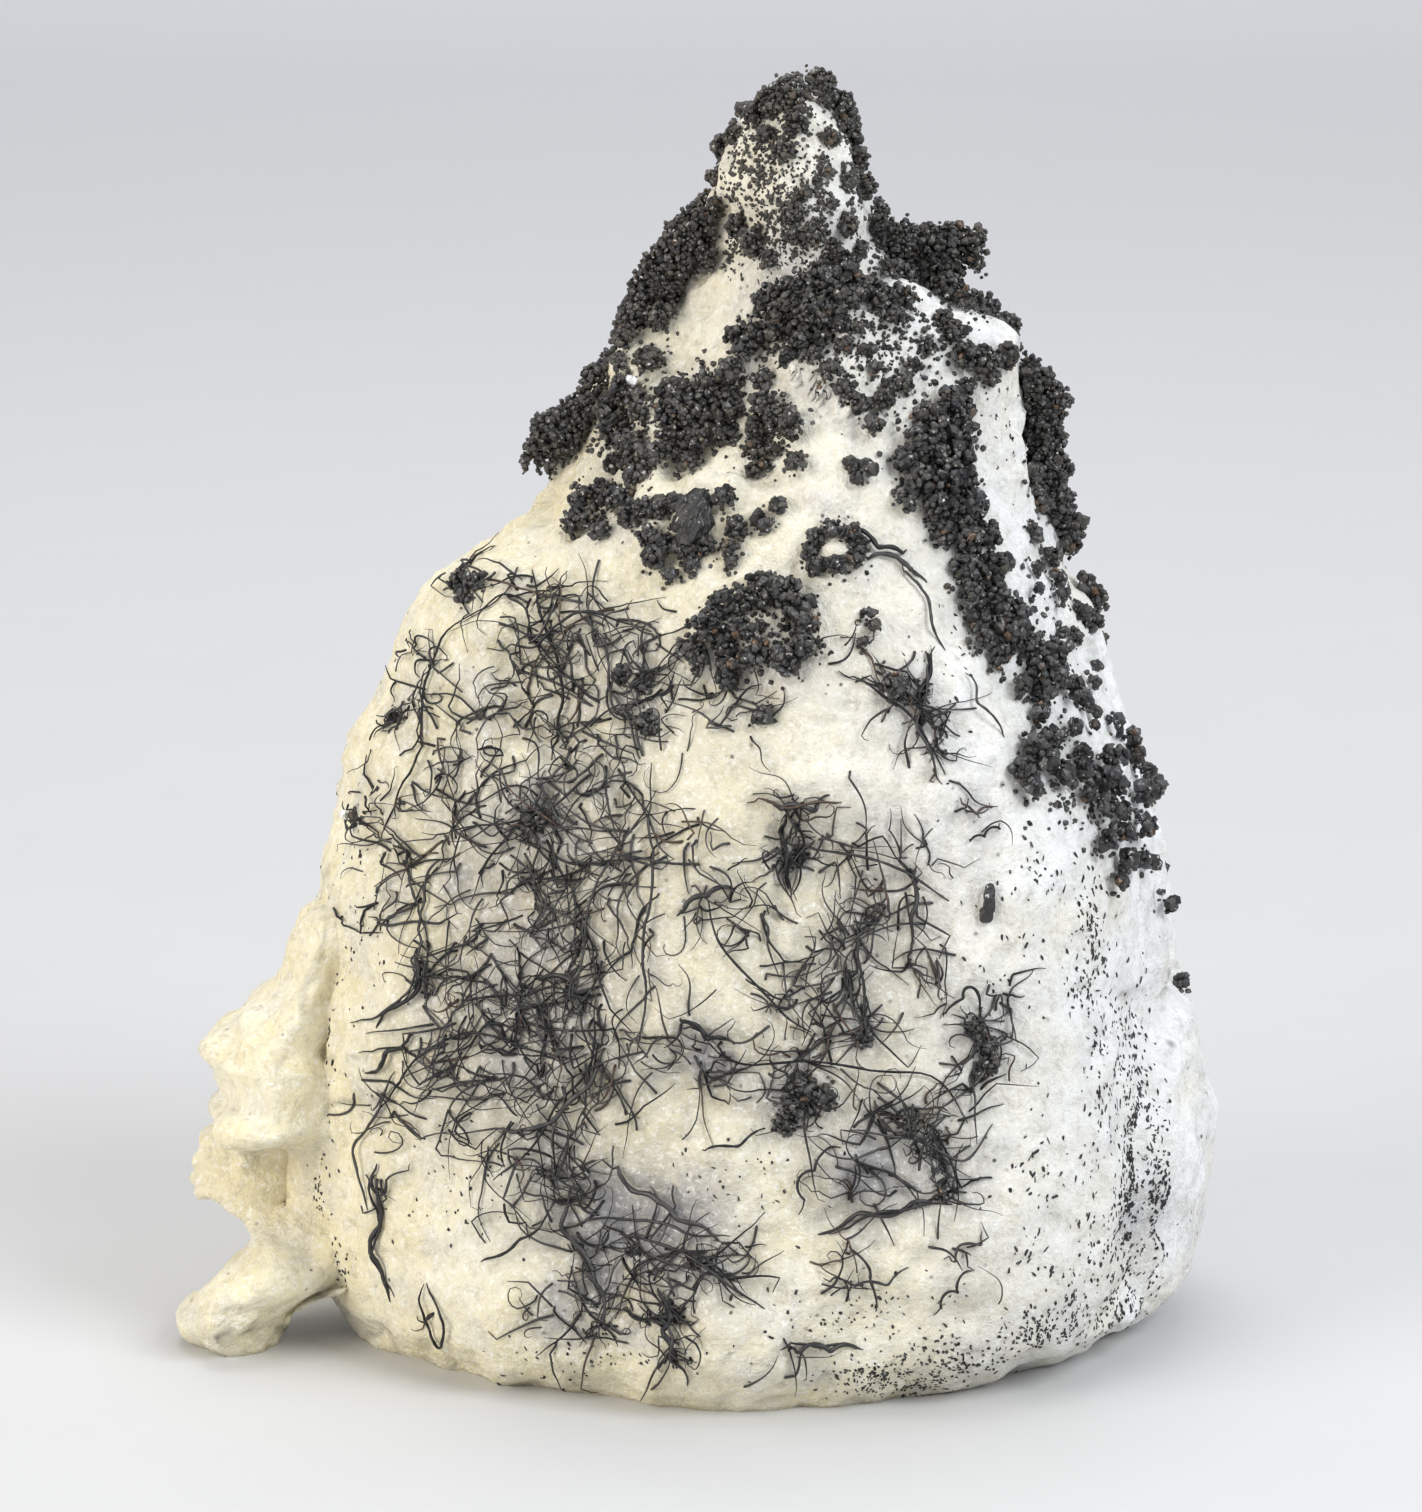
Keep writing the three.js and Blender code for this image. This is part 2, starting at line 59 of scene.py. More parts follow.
def windowPlace(points):
    # where the eye sees a point: its offset across and up, scaled by distance over depth
    offset = points - eye
    scale = window["distance"] / (offset @ ahead)
    across = window["width"] / 2 + (offset @ rightward) * scale
    down = window["height"] / 2 - (offset @ upward) * scale
    return across, down


# Camera
camera = bpy.data.objects.new("camera", bpy.data.cameras.new("camera"))
bpy.context.scene.collection.objects.link(camera)
camera.data.lens = camera.data.sensor_width * window["distance"] / window["height"]
camera.data.clip_start, camera.data.clip_end = 0.01, 20
camera.rotation_mode = "QUATERNION"
camera.location = Vector(toFrame(eye))
camera.rotation_quaternion = Vector(ahead).to_track_quat("-Z", "Y")
bpy.context.scene.camera = camera

# Lights: a wide cool one high at the right, a wide warm one at the left, one overhead, and one
# that lights the backdrop
lights = {
    "rightLight": {"place": (0.55, -0.45, 0.60), "size": 0.45, "power": 5.4, "tint": (0.93, 0.97, 1)},
    "leftLight": {"place": (-0.60, -0.40, 0.30), "size": 0.50, "power": 4.2, "tint": (1, 0.95, 0.86)},
    "topLight": {"place": (0.0, 0.15, 0.85), "size": 0.60, "power": 3.0, "tint": (1, 1, 1)},
    "backdropLight": {"place": (0.0, 0.6, 1.4), "size": 1.2, "power": 6.0, "tint": (1, 1, 1),
                      "aim": (0.0, 2.0, 0.5)},
}
for name, look in lights.items():
    lamp = bpy.data.objects.new(name, bpy.data.lights.new(name, "AREA"))
    lamp.data.size = look["size"]
    lamp.data.energy = look["power"]
    lamp.data.color = look["tint"]
    lamp.location = look["place"]
    toward = Vector(look.get("aim", (0, 0, 0.05))) - lamp.location
    lamp.rotation_mode = "QUATERNION"
    lamp.rotation_quaternion = toward.to_track_quat("-Z", "Y")
    bpy.context.scene.collection.objects.link(lamp)
worldLook = {"colour": (0.9, 0.93, 1, 1), "strength": 0.42}
world = bpy.data.worlds.new("studio")
world.use_nodes = True
world.node_tree.nodes["Background"].inputs["Color"].default_value = worldLook["colour"]
world.node_tree.nodes["Background"].inputs["Strength"].default_value = worldLook["strength"]
bpy.context.scene.world = world
bpy.context.scene.view_settings.view_transform = "Standard"
print("camera and lights made")


# Mesh and material helpers

def makeMesh(name, points, faceSets, smooth=True):
    # points in mm and sets of faces with the same corner count go in as whole arrays
    mesh = bpy.data.meshes.new(name)
    corners = np.concatenate([faces.ravel() for faces in faceSets]).astype(np.int32)
    counts = np.concatenate([np.full(len(faces), faces.shape[1]) for faces in faceSets])
    starts = np.concatenate([[0], np.cumsum(counts)[:-1]]).astype(np.int32)
    mesh.vertices.add(len(points))
    mesh.vertices.foreach_set("co", toFrame(points).astype(np.float32).ravel())
    mesh.loops.add(len(corners))
    mesh.loops.foreach_set("vertex_index", corners)
    mesh.polygons.add(len(counts))
    mesh.polygons.foreach_set("loop_start", starts)
    mesh.polygons.foreach_set("use_smooth", np.full(len(counts), smooth))
    mesh.update(calc_edges=True)
    return mesh


def addPiece(name, mesh, material, slotName, *nodeNames):
    # an object at the origin that carries the mesh and stands for the named nodes, if any
    piece = bpy.data.objects.new(name, mesh)
    bpy.context.scene.collection.objects.link(piece)
    piece.data.materials.clear()
    piece.data.materials.append(material)
    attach(piece, "root")
    if nodeNames:
        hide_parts(*nodeNames)
    return piece


def paint(mesh, name, values):  # one number for each vertex, which a material reads by its name
    layer = mesh.attributes.new(name, "FLOAT", "POINT")
    layer.data.foreach_set("value", np.asarray(values, np.float32))


def newMaterial(name):
    material = bpy.data.materials.new(name)
    material.use_nodes = True
    return material, material.node_tree, material.node_tree.nodes["Principled BSDF"]


def addNode(tree, kind, settings=None, **sockets):
    # a node with its settings, its sockets given a value or the output that feeds them
    node = tree.nodes.new(kind)
    for key, value in (settings or {}).items():
        setattr(node, key, value)
    for key, value in sockets.items():
        socket = node.inputs[int(key[1:])] if key[0] == "i" and key[1:].isdigit() else node.inputs[key]
        if isinstance(value, bpy.types.NodeSocket):
            tree.links.new(value, socket)
        else:
            socket.default_value = value
    return node


def mixColours(tree, share, first, second, blend="MIX"):
    node = tree.nodes.new("ShaderNodeMix")
    node.data_type = "RGBA"
    node.blend_type = blend
    for place, value in ((0, share), (6, first), (7, second)):
        if isinstance(value, bpy.types.NodeSocket):
            tree.links.new(value, node.inputs[place])
        else:
            node.inputs[place].default_value = value
    return node.outputs[2]


def ramp(tree, source, low, high):  # 0 below low, 1 above high, and straight between them
    node = addNode(tree, "ShaderNodeMapRange", i0=source, i1=low, i2=high)
    return node.outputs[0]


def painted(tree, name):  # the number that paint gave each vertex
    return addNode(tree, "ShaderNodeAttribute", {"attribute_name": name}).outputs["Fac"]


def times(tree, first, second):
    return addNode(tree, "ShaderNodeMath", {"operation": "MULTIPLY"}, i0=first, i1=second).outputs[0]


def noiseNode(tree, where, size, detail=3.0, rough=0.55):  # blotches about size metres across
    settings = {"Scale": 1 / size, "Detail": detail, "Roughness": rough}
    node = addNode(tree, "ShaderNodeTexNoise", Vector=where, **settings)
    return node.outputs[0]


# Floor and backdrop: one sheet, a profile along Y and Z carried across X
floorLook = {
    "halfWidth": 3.0, "front": -1.6, "back": 1.3, "bend": 0.6, "rise": 1.5,
    "colour": 0.6, "backdrop": (0.93, 0.93, 0.94, 1), "paler": (0.2, 1.6),  # from and to these y
    "mottle": 0.02,
}


def makeFloor(look):
    # flat up to the bend, a quarter circle of that radius, then straight up
    turn = np.linspace(0, np.pi / 2, 25)
    bendY = look["back"] + look["bend"] * np.sin(turn)
    bendZ = look["bend"] * (1 - np.cos(turn))
    y = np.concatenate([[look["front"]], bendY, [look["back"] + look["bend"]]])
    z = np.concatenate([[0], bendZ, [look["rise"]]])
    x = np.linspace(-look["halfWidth"], look["halfWidth"], 9)
    points = np.stack([np.tile(x, len(y)), np.repeat(y, len(x)), np.repeat(z, len(x))], axis=1)
    n = np.arange(len(y) - 1)[:, None] * len(x) + np.arange(len(x) - 1)
    quads = np.stack([n, n + 1, n + 1 + len(x), n + len(x)], axis=-1).reshape(-1, 4)
    mesh = makeMesh("floor", points / mm - centring, [quads])
    material, tree, shader = newMaterial("pale_floor")
    where = addNode(tree, "ShaderNodeTexCoord").outputs["Object"]
    pale = look["colour"]
    lighter = pale * 1.04
    mottle = noiseNode(tree, where, look["mottle"])
    tint = mixColours(tree, mottle, (pale, pale, pale * 1.01, 1), (lighter, lighter, lighter, 1))
    parts = addNode(tree, "ShaderNodeSeparateXYZ", i0=where)
    behind = ramp(tree, parts.outputs[1], *look["paler"])
    tint = mixColours(tree, behind, tint, look["backdrop"])
    tree.links.new(tint, shader.inputs["Base Color"])
    shader.inputs["Roughness"].default_value = 0.8
    floor = bpy.data.objects.new("floor", mesh)
    bpy.context.scene.collection.objects.link(floor)
    mesh.materials.append(material)


makeFloor(floorLook)


# Rock: the solid's main forms in finer steps, with more relief on the back, the foot and the edges

def table(rows):  # the first column gives the heights and the others the values at them
    rows = np.array(rows, float)
    return rows[:, 0], rows[:, 1:]


blockEdges = table([
    [0, -33.5, 41.5], [2, -35, 45], [5, -37.3, 48.6], [11, -38.8, 51], [18, -39.6, 52.2],
    [25, -40, 51.6], [30, -39.8, 49.8], [37, -38.8, 47.4], [44, -37.4, 46], [52, -36.2, 44.8],
    [58, -35.2, 42.2], [62, -32.7, 40.6], [67, -30.3, 39.4], [72, -27.6, 38], [75, -24.8, 36.6],
    [78, -21.2, 35], [80.5, -17.5, 34], [83, -15.4, 32.8], [87, -13, 32], [92, -10.5, 31.3],
    [95, -8, 31.2], [97.7, -5.2, 31.2], [99.8, -3, 29.8], [101.8, -1.2, 25.5], [103.8, -0.2, 22.3],
    [107, 1, 18.6], [112, 2.2, 16.8], [116, 3, 16.1], [119, 4.3, 15], [121.5, 7, 12.5],
])
blockFront = table([
    [0, -12, -19, -25, -29.2, -25.5, -17.5, -7.5],
    [5, -13, -23, -30, -32.5, -29.5, -22, -11],
    [20, -14, -23, -31, -33, -31, -24, -12],
    [42, -12, -19, -27, -30, -28, -22, -10],
    [62, -8, -14, -22, -26, -24, -18, -8],
    [78, -4, -9, -16, -20, -18, -12, -5],
    [90, -2, -5, -10, -14, -12, -7, -3],
    [102, 0, -2, -6, -8, -6, -3, -1],
    [112, 0, -2, -4.5, -5.5, -4.5, -2.5, 0],
    [121.5, 2, 1, -0.5, -1.5, -1, 0, 1],
])
blockBack = table([
    [0, 16, 24, 27, 24, 15],
    [6, 19, 29, 32, 29, 18],
    [30, 19, 29, 33, 30, 18],
    [60, 17, 26, 29, 26, 15],
    [85, 12, 18, 20, 17, 11],
    [102, 9, 12, 13, 12, 8],
    [112, 8, 10, 10.5, 10, 8],
    [121.5, 6, 6.5, 7, 6.5, 6],
])
footEdges = table([
    [0, -49.5, -40.5], [1, -50.6, -40.3], [2.8, -51.2, -40], [4.6, -50, -38], [6, -48.8, -34.5],
    [8, -46.2, -32], [10, -44, -31], [11.5, -45, -30], [13, -49, -30], [15, -49.4, -30],
    [18, -48.6, -30], [21, -46.6, -30], [24.5, -45.4, -30], [26.5, -45.8, -30], [28.5, -47.4, -30],
    [30, -47, -30], [32, -45, -30], [34, -42.7, -30], [37, -40.6, -30], [41, -38.8, -30],
    [44, -36, -31],
])
footFront = table([
    [0, -10, -13, -13.5, -9],
    [6, -14, -16.5, -15, -8],
    [10, -13, -15, -13, -7],
    [14, -9, -9, -9, -7],
    [19, -10, -11, -10, -8],
    [22, -13, -14, -11, -8],
    [30, -8, -12, -10, -7],
    [44, -3, -6, -7, -6],
])
footBack = table([[0, -5, -2, -5], [6, -5, 0, -2], [14, 2, 10, 10], [30, 6, 14, 14], [44, 4, 8, 8]])
block = {
    "edges": blockEdges, "rim": table([[0, -4], [12, 5], [121.5, 5]]), "axis": (4, 0.04, 2),
    "front": blockFront, "frontShares": np.array([0, 0.15, 0.35, 0.55, 0.75, 0.9, 1]),
    "back": blockBack, "backShares": np.array([0, 0.25, 0.5, 0.75, 1]),
}
foot = {
    "edges": footEdges, "axis": (-40, 0, -5),
    "rim": table([[0, -8], [9, -12], [13, -6], [20, -5], [30, 0], [44, 0]]),
    "front": footFront, "frontShares": np.array([0, 0.3, 0.6, 1]),
    "back": footBack, "backShares": np.array([0, 0.5, 1]),
}
rockShape = {
    "rimRoundness": 8,
    # across, down, radius, depth: a hump has a negative depth
    "hollows": [
        [60, 124, 7, 3], [69.5, 108, 5.5, 2], [84, 87, 8, 2.2], [80, 72, 4, 1], [82.5, 67, 5, -1.2],
        [104, 82, 8, -2], [44, 101, 7, -1.5], [69, 33.5, 6, -2.5], [58, 47.5, 5, 1.5],
        [76, 46.5, 6, 2], [72, 50.5, 4, -1], [91, 117, 5, 1.5], [72, 135, 5, -1.5], [45, 118, 5, 1],
        [96, 103, 5, 1], [57, 96, 8, -1],
        [37, 133, 1.8, 1.2], [41.4, 136, 2, 1], [47, 137.4, 2.2, 1], [54, 139, 2, 0.8],
        [82, 139.4, 2.2, 1], [93, 138.6, 2.4, 1.2], [104, 136.4, 2, 1], [112, 131.6, 2.2, 1.2],
        [118.4, 122, 2.4, 1], [119.6, 108, 2, 0.8], [34.4, 97, 2, 0.8], [52, 126, 2.4, 0.7],
    ],
    "ledges": [
        {"edge": [[71.2, 21.5], [69, 29], [65.2, 34.5], [65.5, 38.5], [65.8, 45]], "drop": 4, "reach": 9},
        {"edge": [[52, 51], [50.5, 62], [49, 70]], "drop": 2, "reach": 8},
        {"edge": [[116, 128], [117.5, 112], [118, 99]], "drop": 3, "reach": 6},
    ],
    "ledgeSoftness": 0.9, "ledgeFade": 3,
    "unevenness": [[22, 1.6], [9, 0.8]], "backUnevenness": [[17, 3], [8, 1.3]],
    "fineness": [[5.5, 0.6], [2.8, 0.42], [1.5, 0.26], [0.9, 0.15]],  # wavelength and height, mm
    "footUnevenness": [[6.5, 1.5], [3.2, 0.7]],
    "pits": {"size": 2.4, "depth": 0.5, "share": 0.3},
    "creases": {"size": 8.5, "width": 0.05, "depth": 0.45},
    "backBreaks": {"sizes": [[10, 2.2], [4.6, 1.0]], "rise": 0.5},  # sharp ridges of the broken back
    # x, z, half width, half height and depth of the foot's hollows; a lip has a negative depth
    "footHollows": [
        [-43.4, 16.4, 6, 3.8, 7], [-43, 22.4, 7, 1.5, -1.8], [-47, 31.2, 1.8, 2, 2],
        [-44, 5.6, 5, 1, 0.9], [-38, 12, 3, 4, 2.5],
    ],
    "bedding": {"low": 10, "high": 22, "pitch": 1.9, "depth": 0.35},  # layers in the foot's hollow
}


def follow(places, values, at):
    # cubic curve through the values: an eased step between two places, plus the slope at each,
    # which is the run from the neighbour before to the neighbour after
    count = len(places)
    k = np.searchsorted(places[1:-1], at, side="left")
    before, after = np.maximum(np.arange(count) - 1, 0), np.minimum(np.arange(count) + 1, count - 1)
    slopes = (values[..., after] - values[..., before]) / (places[after] - places[before])

    def pick(rows, n):
        return rows[n] if rows.ndim == 1 else np.take_along_axis(rows, n[..., None], -1)[..., 0]

    step = places[k + 1] - places[k]
    t = np.clip((at - places[k]) / step, 0, 1)
    here, there = pick(values, k), pick(values, k + 1)
    eased = here + (there - here) * t * t * (3 - 2 * t)
    return eased + (pick(slopes, k) * t * (1 - t) ** 2 + pick(slopes, k + 1) * t * t * (t - 1)) * step


def followTable(tableRows, at):  # every column of a table at the same places
    places, columns = tableRows
    return np.stack([follow(places, column, at) for column in columns.T], axis=-1)


def chance(i, j, k):
    # a number from -1 to 1 that is always the same at the same whole-numbered place
    i, j, k = (np.asarray(n).astype(np.int64).astype(np.uint32) for n in (i, j, k))
    h = (i * np.uint32(374761393)) ^ (j * np.uint32(668265263)) ^ (k * np.uint32(1274126177))
    h = (h ^ (h >> np.uint32(13))) * np.uint32(1103515245)
    return (h ^ (h >> np.uint32(16))) / 4294967295 * 2 - 1


def noise(points):
    # chance values at the corners of a unit cube, eased towards each other
    corner = np.floor(points)
    ease = (points - corner) ** 2 * (3 - 2 * (points - corner))
    total = np.zeros(points.shape[:-1])
    for n in range(8):
        bit = np.array([n & 1, (n >> 1) & 1, n >> 2])
        share = np.prod(np.where(bit, ease, 1 - ease), axis=-1)
        total += share * chance(*np.moveaxis(corner + bit, -1, 0))
    return total


def layeredNoise(layers, points):
    return sum(height * noise(points / wave) for wave, height in layers)


def smoothPoint(form, turn, height):
    # turn 0 to 1 crosses the front and 1 to 2 the back: the share of the width eases as a cosine,
    # and the depth swells from the rim to the table's depth as a rounded arch
    left, right = np.moveaxis(followTable(form["edges"], height), -1, 0)
    rim = followTable(form["rim"], height)[..., 0]
    share = (1 - np.cos(np.pi * turn)) / 2
    front = follow(form["frontShares"], followTable(form["front"], height), share)
    back = follow(form["backShares"], followTable(form["back"], height), share)
    depth = np.where(turn <= 1, front, back)
    fullness = np.sqrt(np.maximum(0, 1 - np.abs(2 * share - 1) ** rockShape["rimRoundness"]))
    return np.stack([left + (right - left) * share, rim + (depth - rim) * fullness, height], axis=-1)


def nearOnPath(path, x, z):
    # distance from x, z to a path, the side of it that the point is on, and how far past its ends
    best = np.full(np.shape(x), np.inf)
    side = np.zeros(np.shape(x))
    past = np.zeros(np.shape(x))
    for a, b in zip(path[:-1], path[1:]):
        along = b - a
        length = np.hypot(*along)
        raw = ((x - a[0]) * along[0] + (z - a[1]) * along[1]) / length
        over = np.maximum(np.maximum(-raw, raw - length), 0)
        off = -((x - a[0]) * along[1] - (z - a[1]) * along[0]) / length
        distance = np.hypot(off, over)
        closer = distance < best
        best, side, past = (np.where(closer, new, old) for new, old in
                            ((distance, best), (off, side), (over, past)))
    return best, side, past


def relief(points, form, turn):
    # how far the rock stands out from its smooth section, with hollows and ledges on the front
    out = layeredNoise(rockShape["unevenness"], points)
    if form is foot:
        bed, z = rockShape["bedding"], points[..., 2]
        inside = np.clip((z - bed["low"]) / 2, 0, 1) * np.clip((bed["high"] - z) / 2, 0, 1)
        layers = np.sin(2 * np.pi * z / bed["pitch"] + 3 * noise(points / 5))
        out = out + layeredNoise(rockShape["footUnevenness"], points) + inside * bed["depth"] * layers
        for spotX, spotZ, halfWidth, halfHeight, depth in rockShape["footHollows"]:
            near = ((points[..., 0] - spotX) / halfWidth) ** 2 + ((z - spotZ) / halfHeight) ** 2
            out = out - np.where(turn < 1, depth * np.exp(-(near**1.5)), 0)
        return out
    rough = out + np.sin(np.pi * (turn - 1)) * layeredNoise(rockShape["backUnevenness"], points)
    x, z = points[..., 0], points[..., 2]
    for (spotX, spotZ), (_, _, radius, depth) in zip(hollowSpots, rockShape["hollows"]):
        out = out - depth * np.exp(-((x - spotX) ** 2 + (z - spotZ) ** 2) / radius**2)
    for path, ledge in zip(ledgePaths, rockShape["ledges"]):
        _, side, past = nearOnPath(path, x, z)
        soft = rockShape["ledgeSoftness"]
        t = np.clip((side + soft) / (2 * soft), 0, 1)
        fade = np.exp(-np.maximum(side, 0) / ledge["reach"] - (past / rockShape["ledgeFade"]) ** 2)
        out = out - ledge["drop"] * t * t * (3 - 2 * t) * fade
    return np.where(turn >= 1, rough, out)


def rockPoint(form, turn, height):  # the smooth point, pushed out level from the form's axis
    point = smoothPoint(form, turn, height)
    axisX, lean, axisY = form["axis"]
    level = np.stack([point[..., 0] - axisX - lean * height, point[..., 1] - axisY], axis=-1)
    level = level / np.linalg.norm(level, axis=-1, keepdims=True)
    out = relief(point, form, turn)
    return point + np.stack([level[..., 0] * out, level[..., 1] * out, 0 * out], axis=-1)


def onRock(form, turn, height):
    # the fine surface and the way that it faces: the rock point, moved by the finer layers along
    # the cross product of its runs round and up. The back has ridges where its noise crosses zero
    turn, height = np.broadcast_arrays(np.asarray(turn, float), np.asarray(height, float))
    nudge = 0.01
    place = rockPoint(form, turn, height)
    around = rockPoint(form, (turn + nudge) % 2, height) - rockPoint(form, (turn - nudge) % 2, height)
    rise = rockPoint(form, turn, height + 1) - rockPoint(form, turn, height - 1)
    facing = np.cross(around, rise)
    facing /= np.linalg.norm(facing, axis=-1, keepdims=True)
    pits = rockShape["pits"]
    sunk = np.clip((noise(place / pits["size"] + 31.7) - pits["share"]) / 0.3, 0, 1)
    creases = rockShape["creases"]
    crease = np.clip(1 - np.abs(noise(place / creases["size"] + 11.3)) / creases["width"], 0, 1)
    fine = layeredNoise(rockShape["fineness"], place + 57.3) - pits["depth"] * sunk
    fine = fine - creases["depth"] * crease * np.clip(noise(place / 13 + 3.1) * 2 + 0.3, 0, 1)
    breaks = rockShape["backBreaks"]
    valleys = sum(depth * np.abs(noise(place / size + 20.6)) for size, depth in breaks["sizes"])
    if form is block:
        fine = fine + np.where(turn > 1, np.sin(np.pi * (turn - 1)), 0) * (breaks["rise"] - valleys)
    return place + facing * fine[..., None], facing


search = {"seatPasses": 12, "facePasses": 22, "firstDepth": -20.0, "pace": 0.8}


def smoothSeat(across, down):
    # where the eye's line through a place in the window meets the smooth front of the block
    depth = np.full(np.shape(across), search["firstDepth"])
    top = blockEdges[0][-1]
    for _ in range(search["seatPasses"]):
        ray = aim + (across - window["width"] / 2)[..., None] * rightward
        ray = ray + (window["height"] / 2 - down)[..., None] * upward - eye
        found = eye + ray * ((depth - eye[1]) / ray[..., 1])[..., None]
        height = np.clip(found[..., 2], 0, top)
        left, right = np.moveaxis(followTable(blockEdges, height), -1, 0)
        share = np.clip((found[..., 0] - left) / (right - left), 0.004, 0.996)
        depth = smoothPoint(block, np.arccos(1 - 2 * share) / np.pi, height)[..., 1]
    return found


def smoothSpots(places):  # the x and z of each place's seat on the smooth front
    return smoothSeat(*np.array(places, float)[:, :2].T)[:, [0, 2]]


hollowSpots = smoothSpots(rockShape["hollows"])
ledgePaths = [smoothSpots(ledge["edge"]) for ledge in rockShape["ledges"]]


def findOnFace(across, down, form=block, margin=0.001):
    # slides a guess over the front until the eye sees it at the place. A place beyond the outline
    # keeps its distance from the edge, and the margin is the least share of the width from an edge
    top = form["edges"][0][-1]
    across, down = np.asarray(across, float), np.asarray(down, float)
    share = np.full(across.shape, 0.5)
    height = np.clip(aim[2] + window["height"] / 2 - down, 1, top - 1)
    for _ in range(search["facePasses"]):
        left, right = np.moveaxis(followTable(form["edges"], height), -1, 0)
        turn = np.arccos(1 - 2 * share) / np.pi
        seenAcross, seenDown = windowPlace(rockPoint(form, turn, height))
        aside = search["pace"] * (across - seenAcross) / (right - left)
        share = np.clip(share + aside, margin, 1 - margin)
        height = np.clip(height + search["pace"] * (seenDown - down), 0, top)
    turn = np.arccos(1 - 2 * share) / np.pi
    place = rockPoint(form, turn, height)
    seenAcross, seenDown = windowPlace(place)
    scale = ((place - eye) @ ahead / window["distance"])[..., None]
    beyond = ((across - seenAcross)[..., None] * rightward - (down - seenDown)[..., None] * upward) * scale
    return turn, height, beyond


def seatOnFace(across, down, form=block, reach=1.0, margin=0.001):
    # the fine surface under a place, and of the way beyond the outline only the share of reach
    turn, height, beyond = findOnFace(across, down, form, margin)
    place, facing = onRock(form, turn, height)
    return place + beyond * reach, facing


def closedRings(form, rows, frontSteps, backSteps):
    # level rings up the form, each cut finely over the front, with both ends filled in
    turn = np.concatenate([np.arange(frontSteps) / frontSteps, 1 + np.arange(backSteps) / backSteps])
    height = np.linspace(0, form["edges"][0][-1], rows + 1)
    place, _ = onRock(form, turn[None, :], height[:, None])
    place[0, :, 2] = 0
    place[..., 2] = np.maximum(place[..., 2], 0.3 * height[:, None])
    around = len(turn)
    n = np.arange(rows)[:, None] * around + np.arange(around)
    m = np.arange(rows)[:, None] * around + (np.arange(around) + 1) % around
    quads = np.stack([n, m, m + around, n + around], axis=-1).reshape(-1, 4)
    ends = np.stack([place[0].mean(axis=0), place[-1].mean(axis=0)])
    points = np.concatenate([place.reshape(-1, 3), ends])
    low, high = (rows + 1) * around, (rows + 1) * around + 1
    ring = np.arange(around)
    nextOn = (ring + 1) % around
    bottom = np.stack([nextOn, ring, np.full(around, low)], axis=-1)
    last = rows * around
    top = np.stack([last + ring, last + nextOn, np.full(around, high)], axis=-1)
    return points, [quads, np.concatenate([bottom, top])]


def joinedSolid(name, mesh, other):  # the union of two closed meshes, as a new mesh
    holders = [bpy.data.objects.new(name + "Part", m) for m in (mesh, other)]
    for holder in holders:
        bpy.context.scene.collection.objects.link(holder)
    union = holders[0].modifiers.new("union", "BOOLEAN")
    union.operation = "UNION"
    union.solver = "MANIFOLD"
    union.object = holders[1]
    depsgraph = bpy.context.evaluated_depsgraph_get()
    joined = bpy.data.meshes.new_from_object(holders[0].evaluated_get(depsgraph))
    for holder in holders:
        bpy.data.objects.remove(holder)
    joined.name = name
    return joined


rockGrid = {"rows": 236, "front": 236, "back": 84, "footRows": 80, "footFront": 70, "footBack": 24}
points, faces = closedRings(block, rockGrid["rows"], rockGrid["front"], rockGrid["back"])
blockMesh = makeMesh("block", points, faces)
points, faces = closedRings(foot, rockGrid["footRows"], rockGrid["footFront"], rockGrid["footBack"])
footMesh = makeMesh("foot", points, faces)
rockMesh = joinedSolid("rock_body", blockMesh, footMesh)
print("rock shaped:", len(rockMesh.polygons), "faces")


def readPoints(mesh):  # a mesh's vertices, back in the model's millimetres
    flat = np.empty(len(mesh.vertices) * 3, np.float32)
    mesh.vertices.foreach_get("co", flat)
    return flat.reshape(-1, 3) / mm - centring


def patchField(points, spots):
    # soft round patches, strongest at their middles and never above 1 together
    total = np.zeros(len(points))
    middles, _ = seatOnFace(*np.array(spots, float)[:, :2].T)
    for middle, (_, _, radius, strength) in zip(middles, spots):
        near = np.sum((points - middle) ** 2, axis=1) / radius**2
        total = 1 - (1 - total) * (1 - strength * np.exp(-near))
    return total


def lineField(points, lines, width):
    # thin dark lines: strongest on a path seen in the window, on the near side of the rock only
    total = np.zeros(len(points))
    across, down = windowPlace(points)
    wander, broken = 0.8 * noise(points / 2.6), np.clip(noise(points / 2.1 + 9.1) * 2.2 + 0.75, 0, 1)
    for line in lines:
        distance, _, _ = nearOnPath(np.array(line["path"], float), across + wander, down + wander)
        total = np.maximum(total, line["strength"] * broken * np.exp(-((distance / width) ** 2)))
    return np.where(points[:, 1] < 4, total, 0)


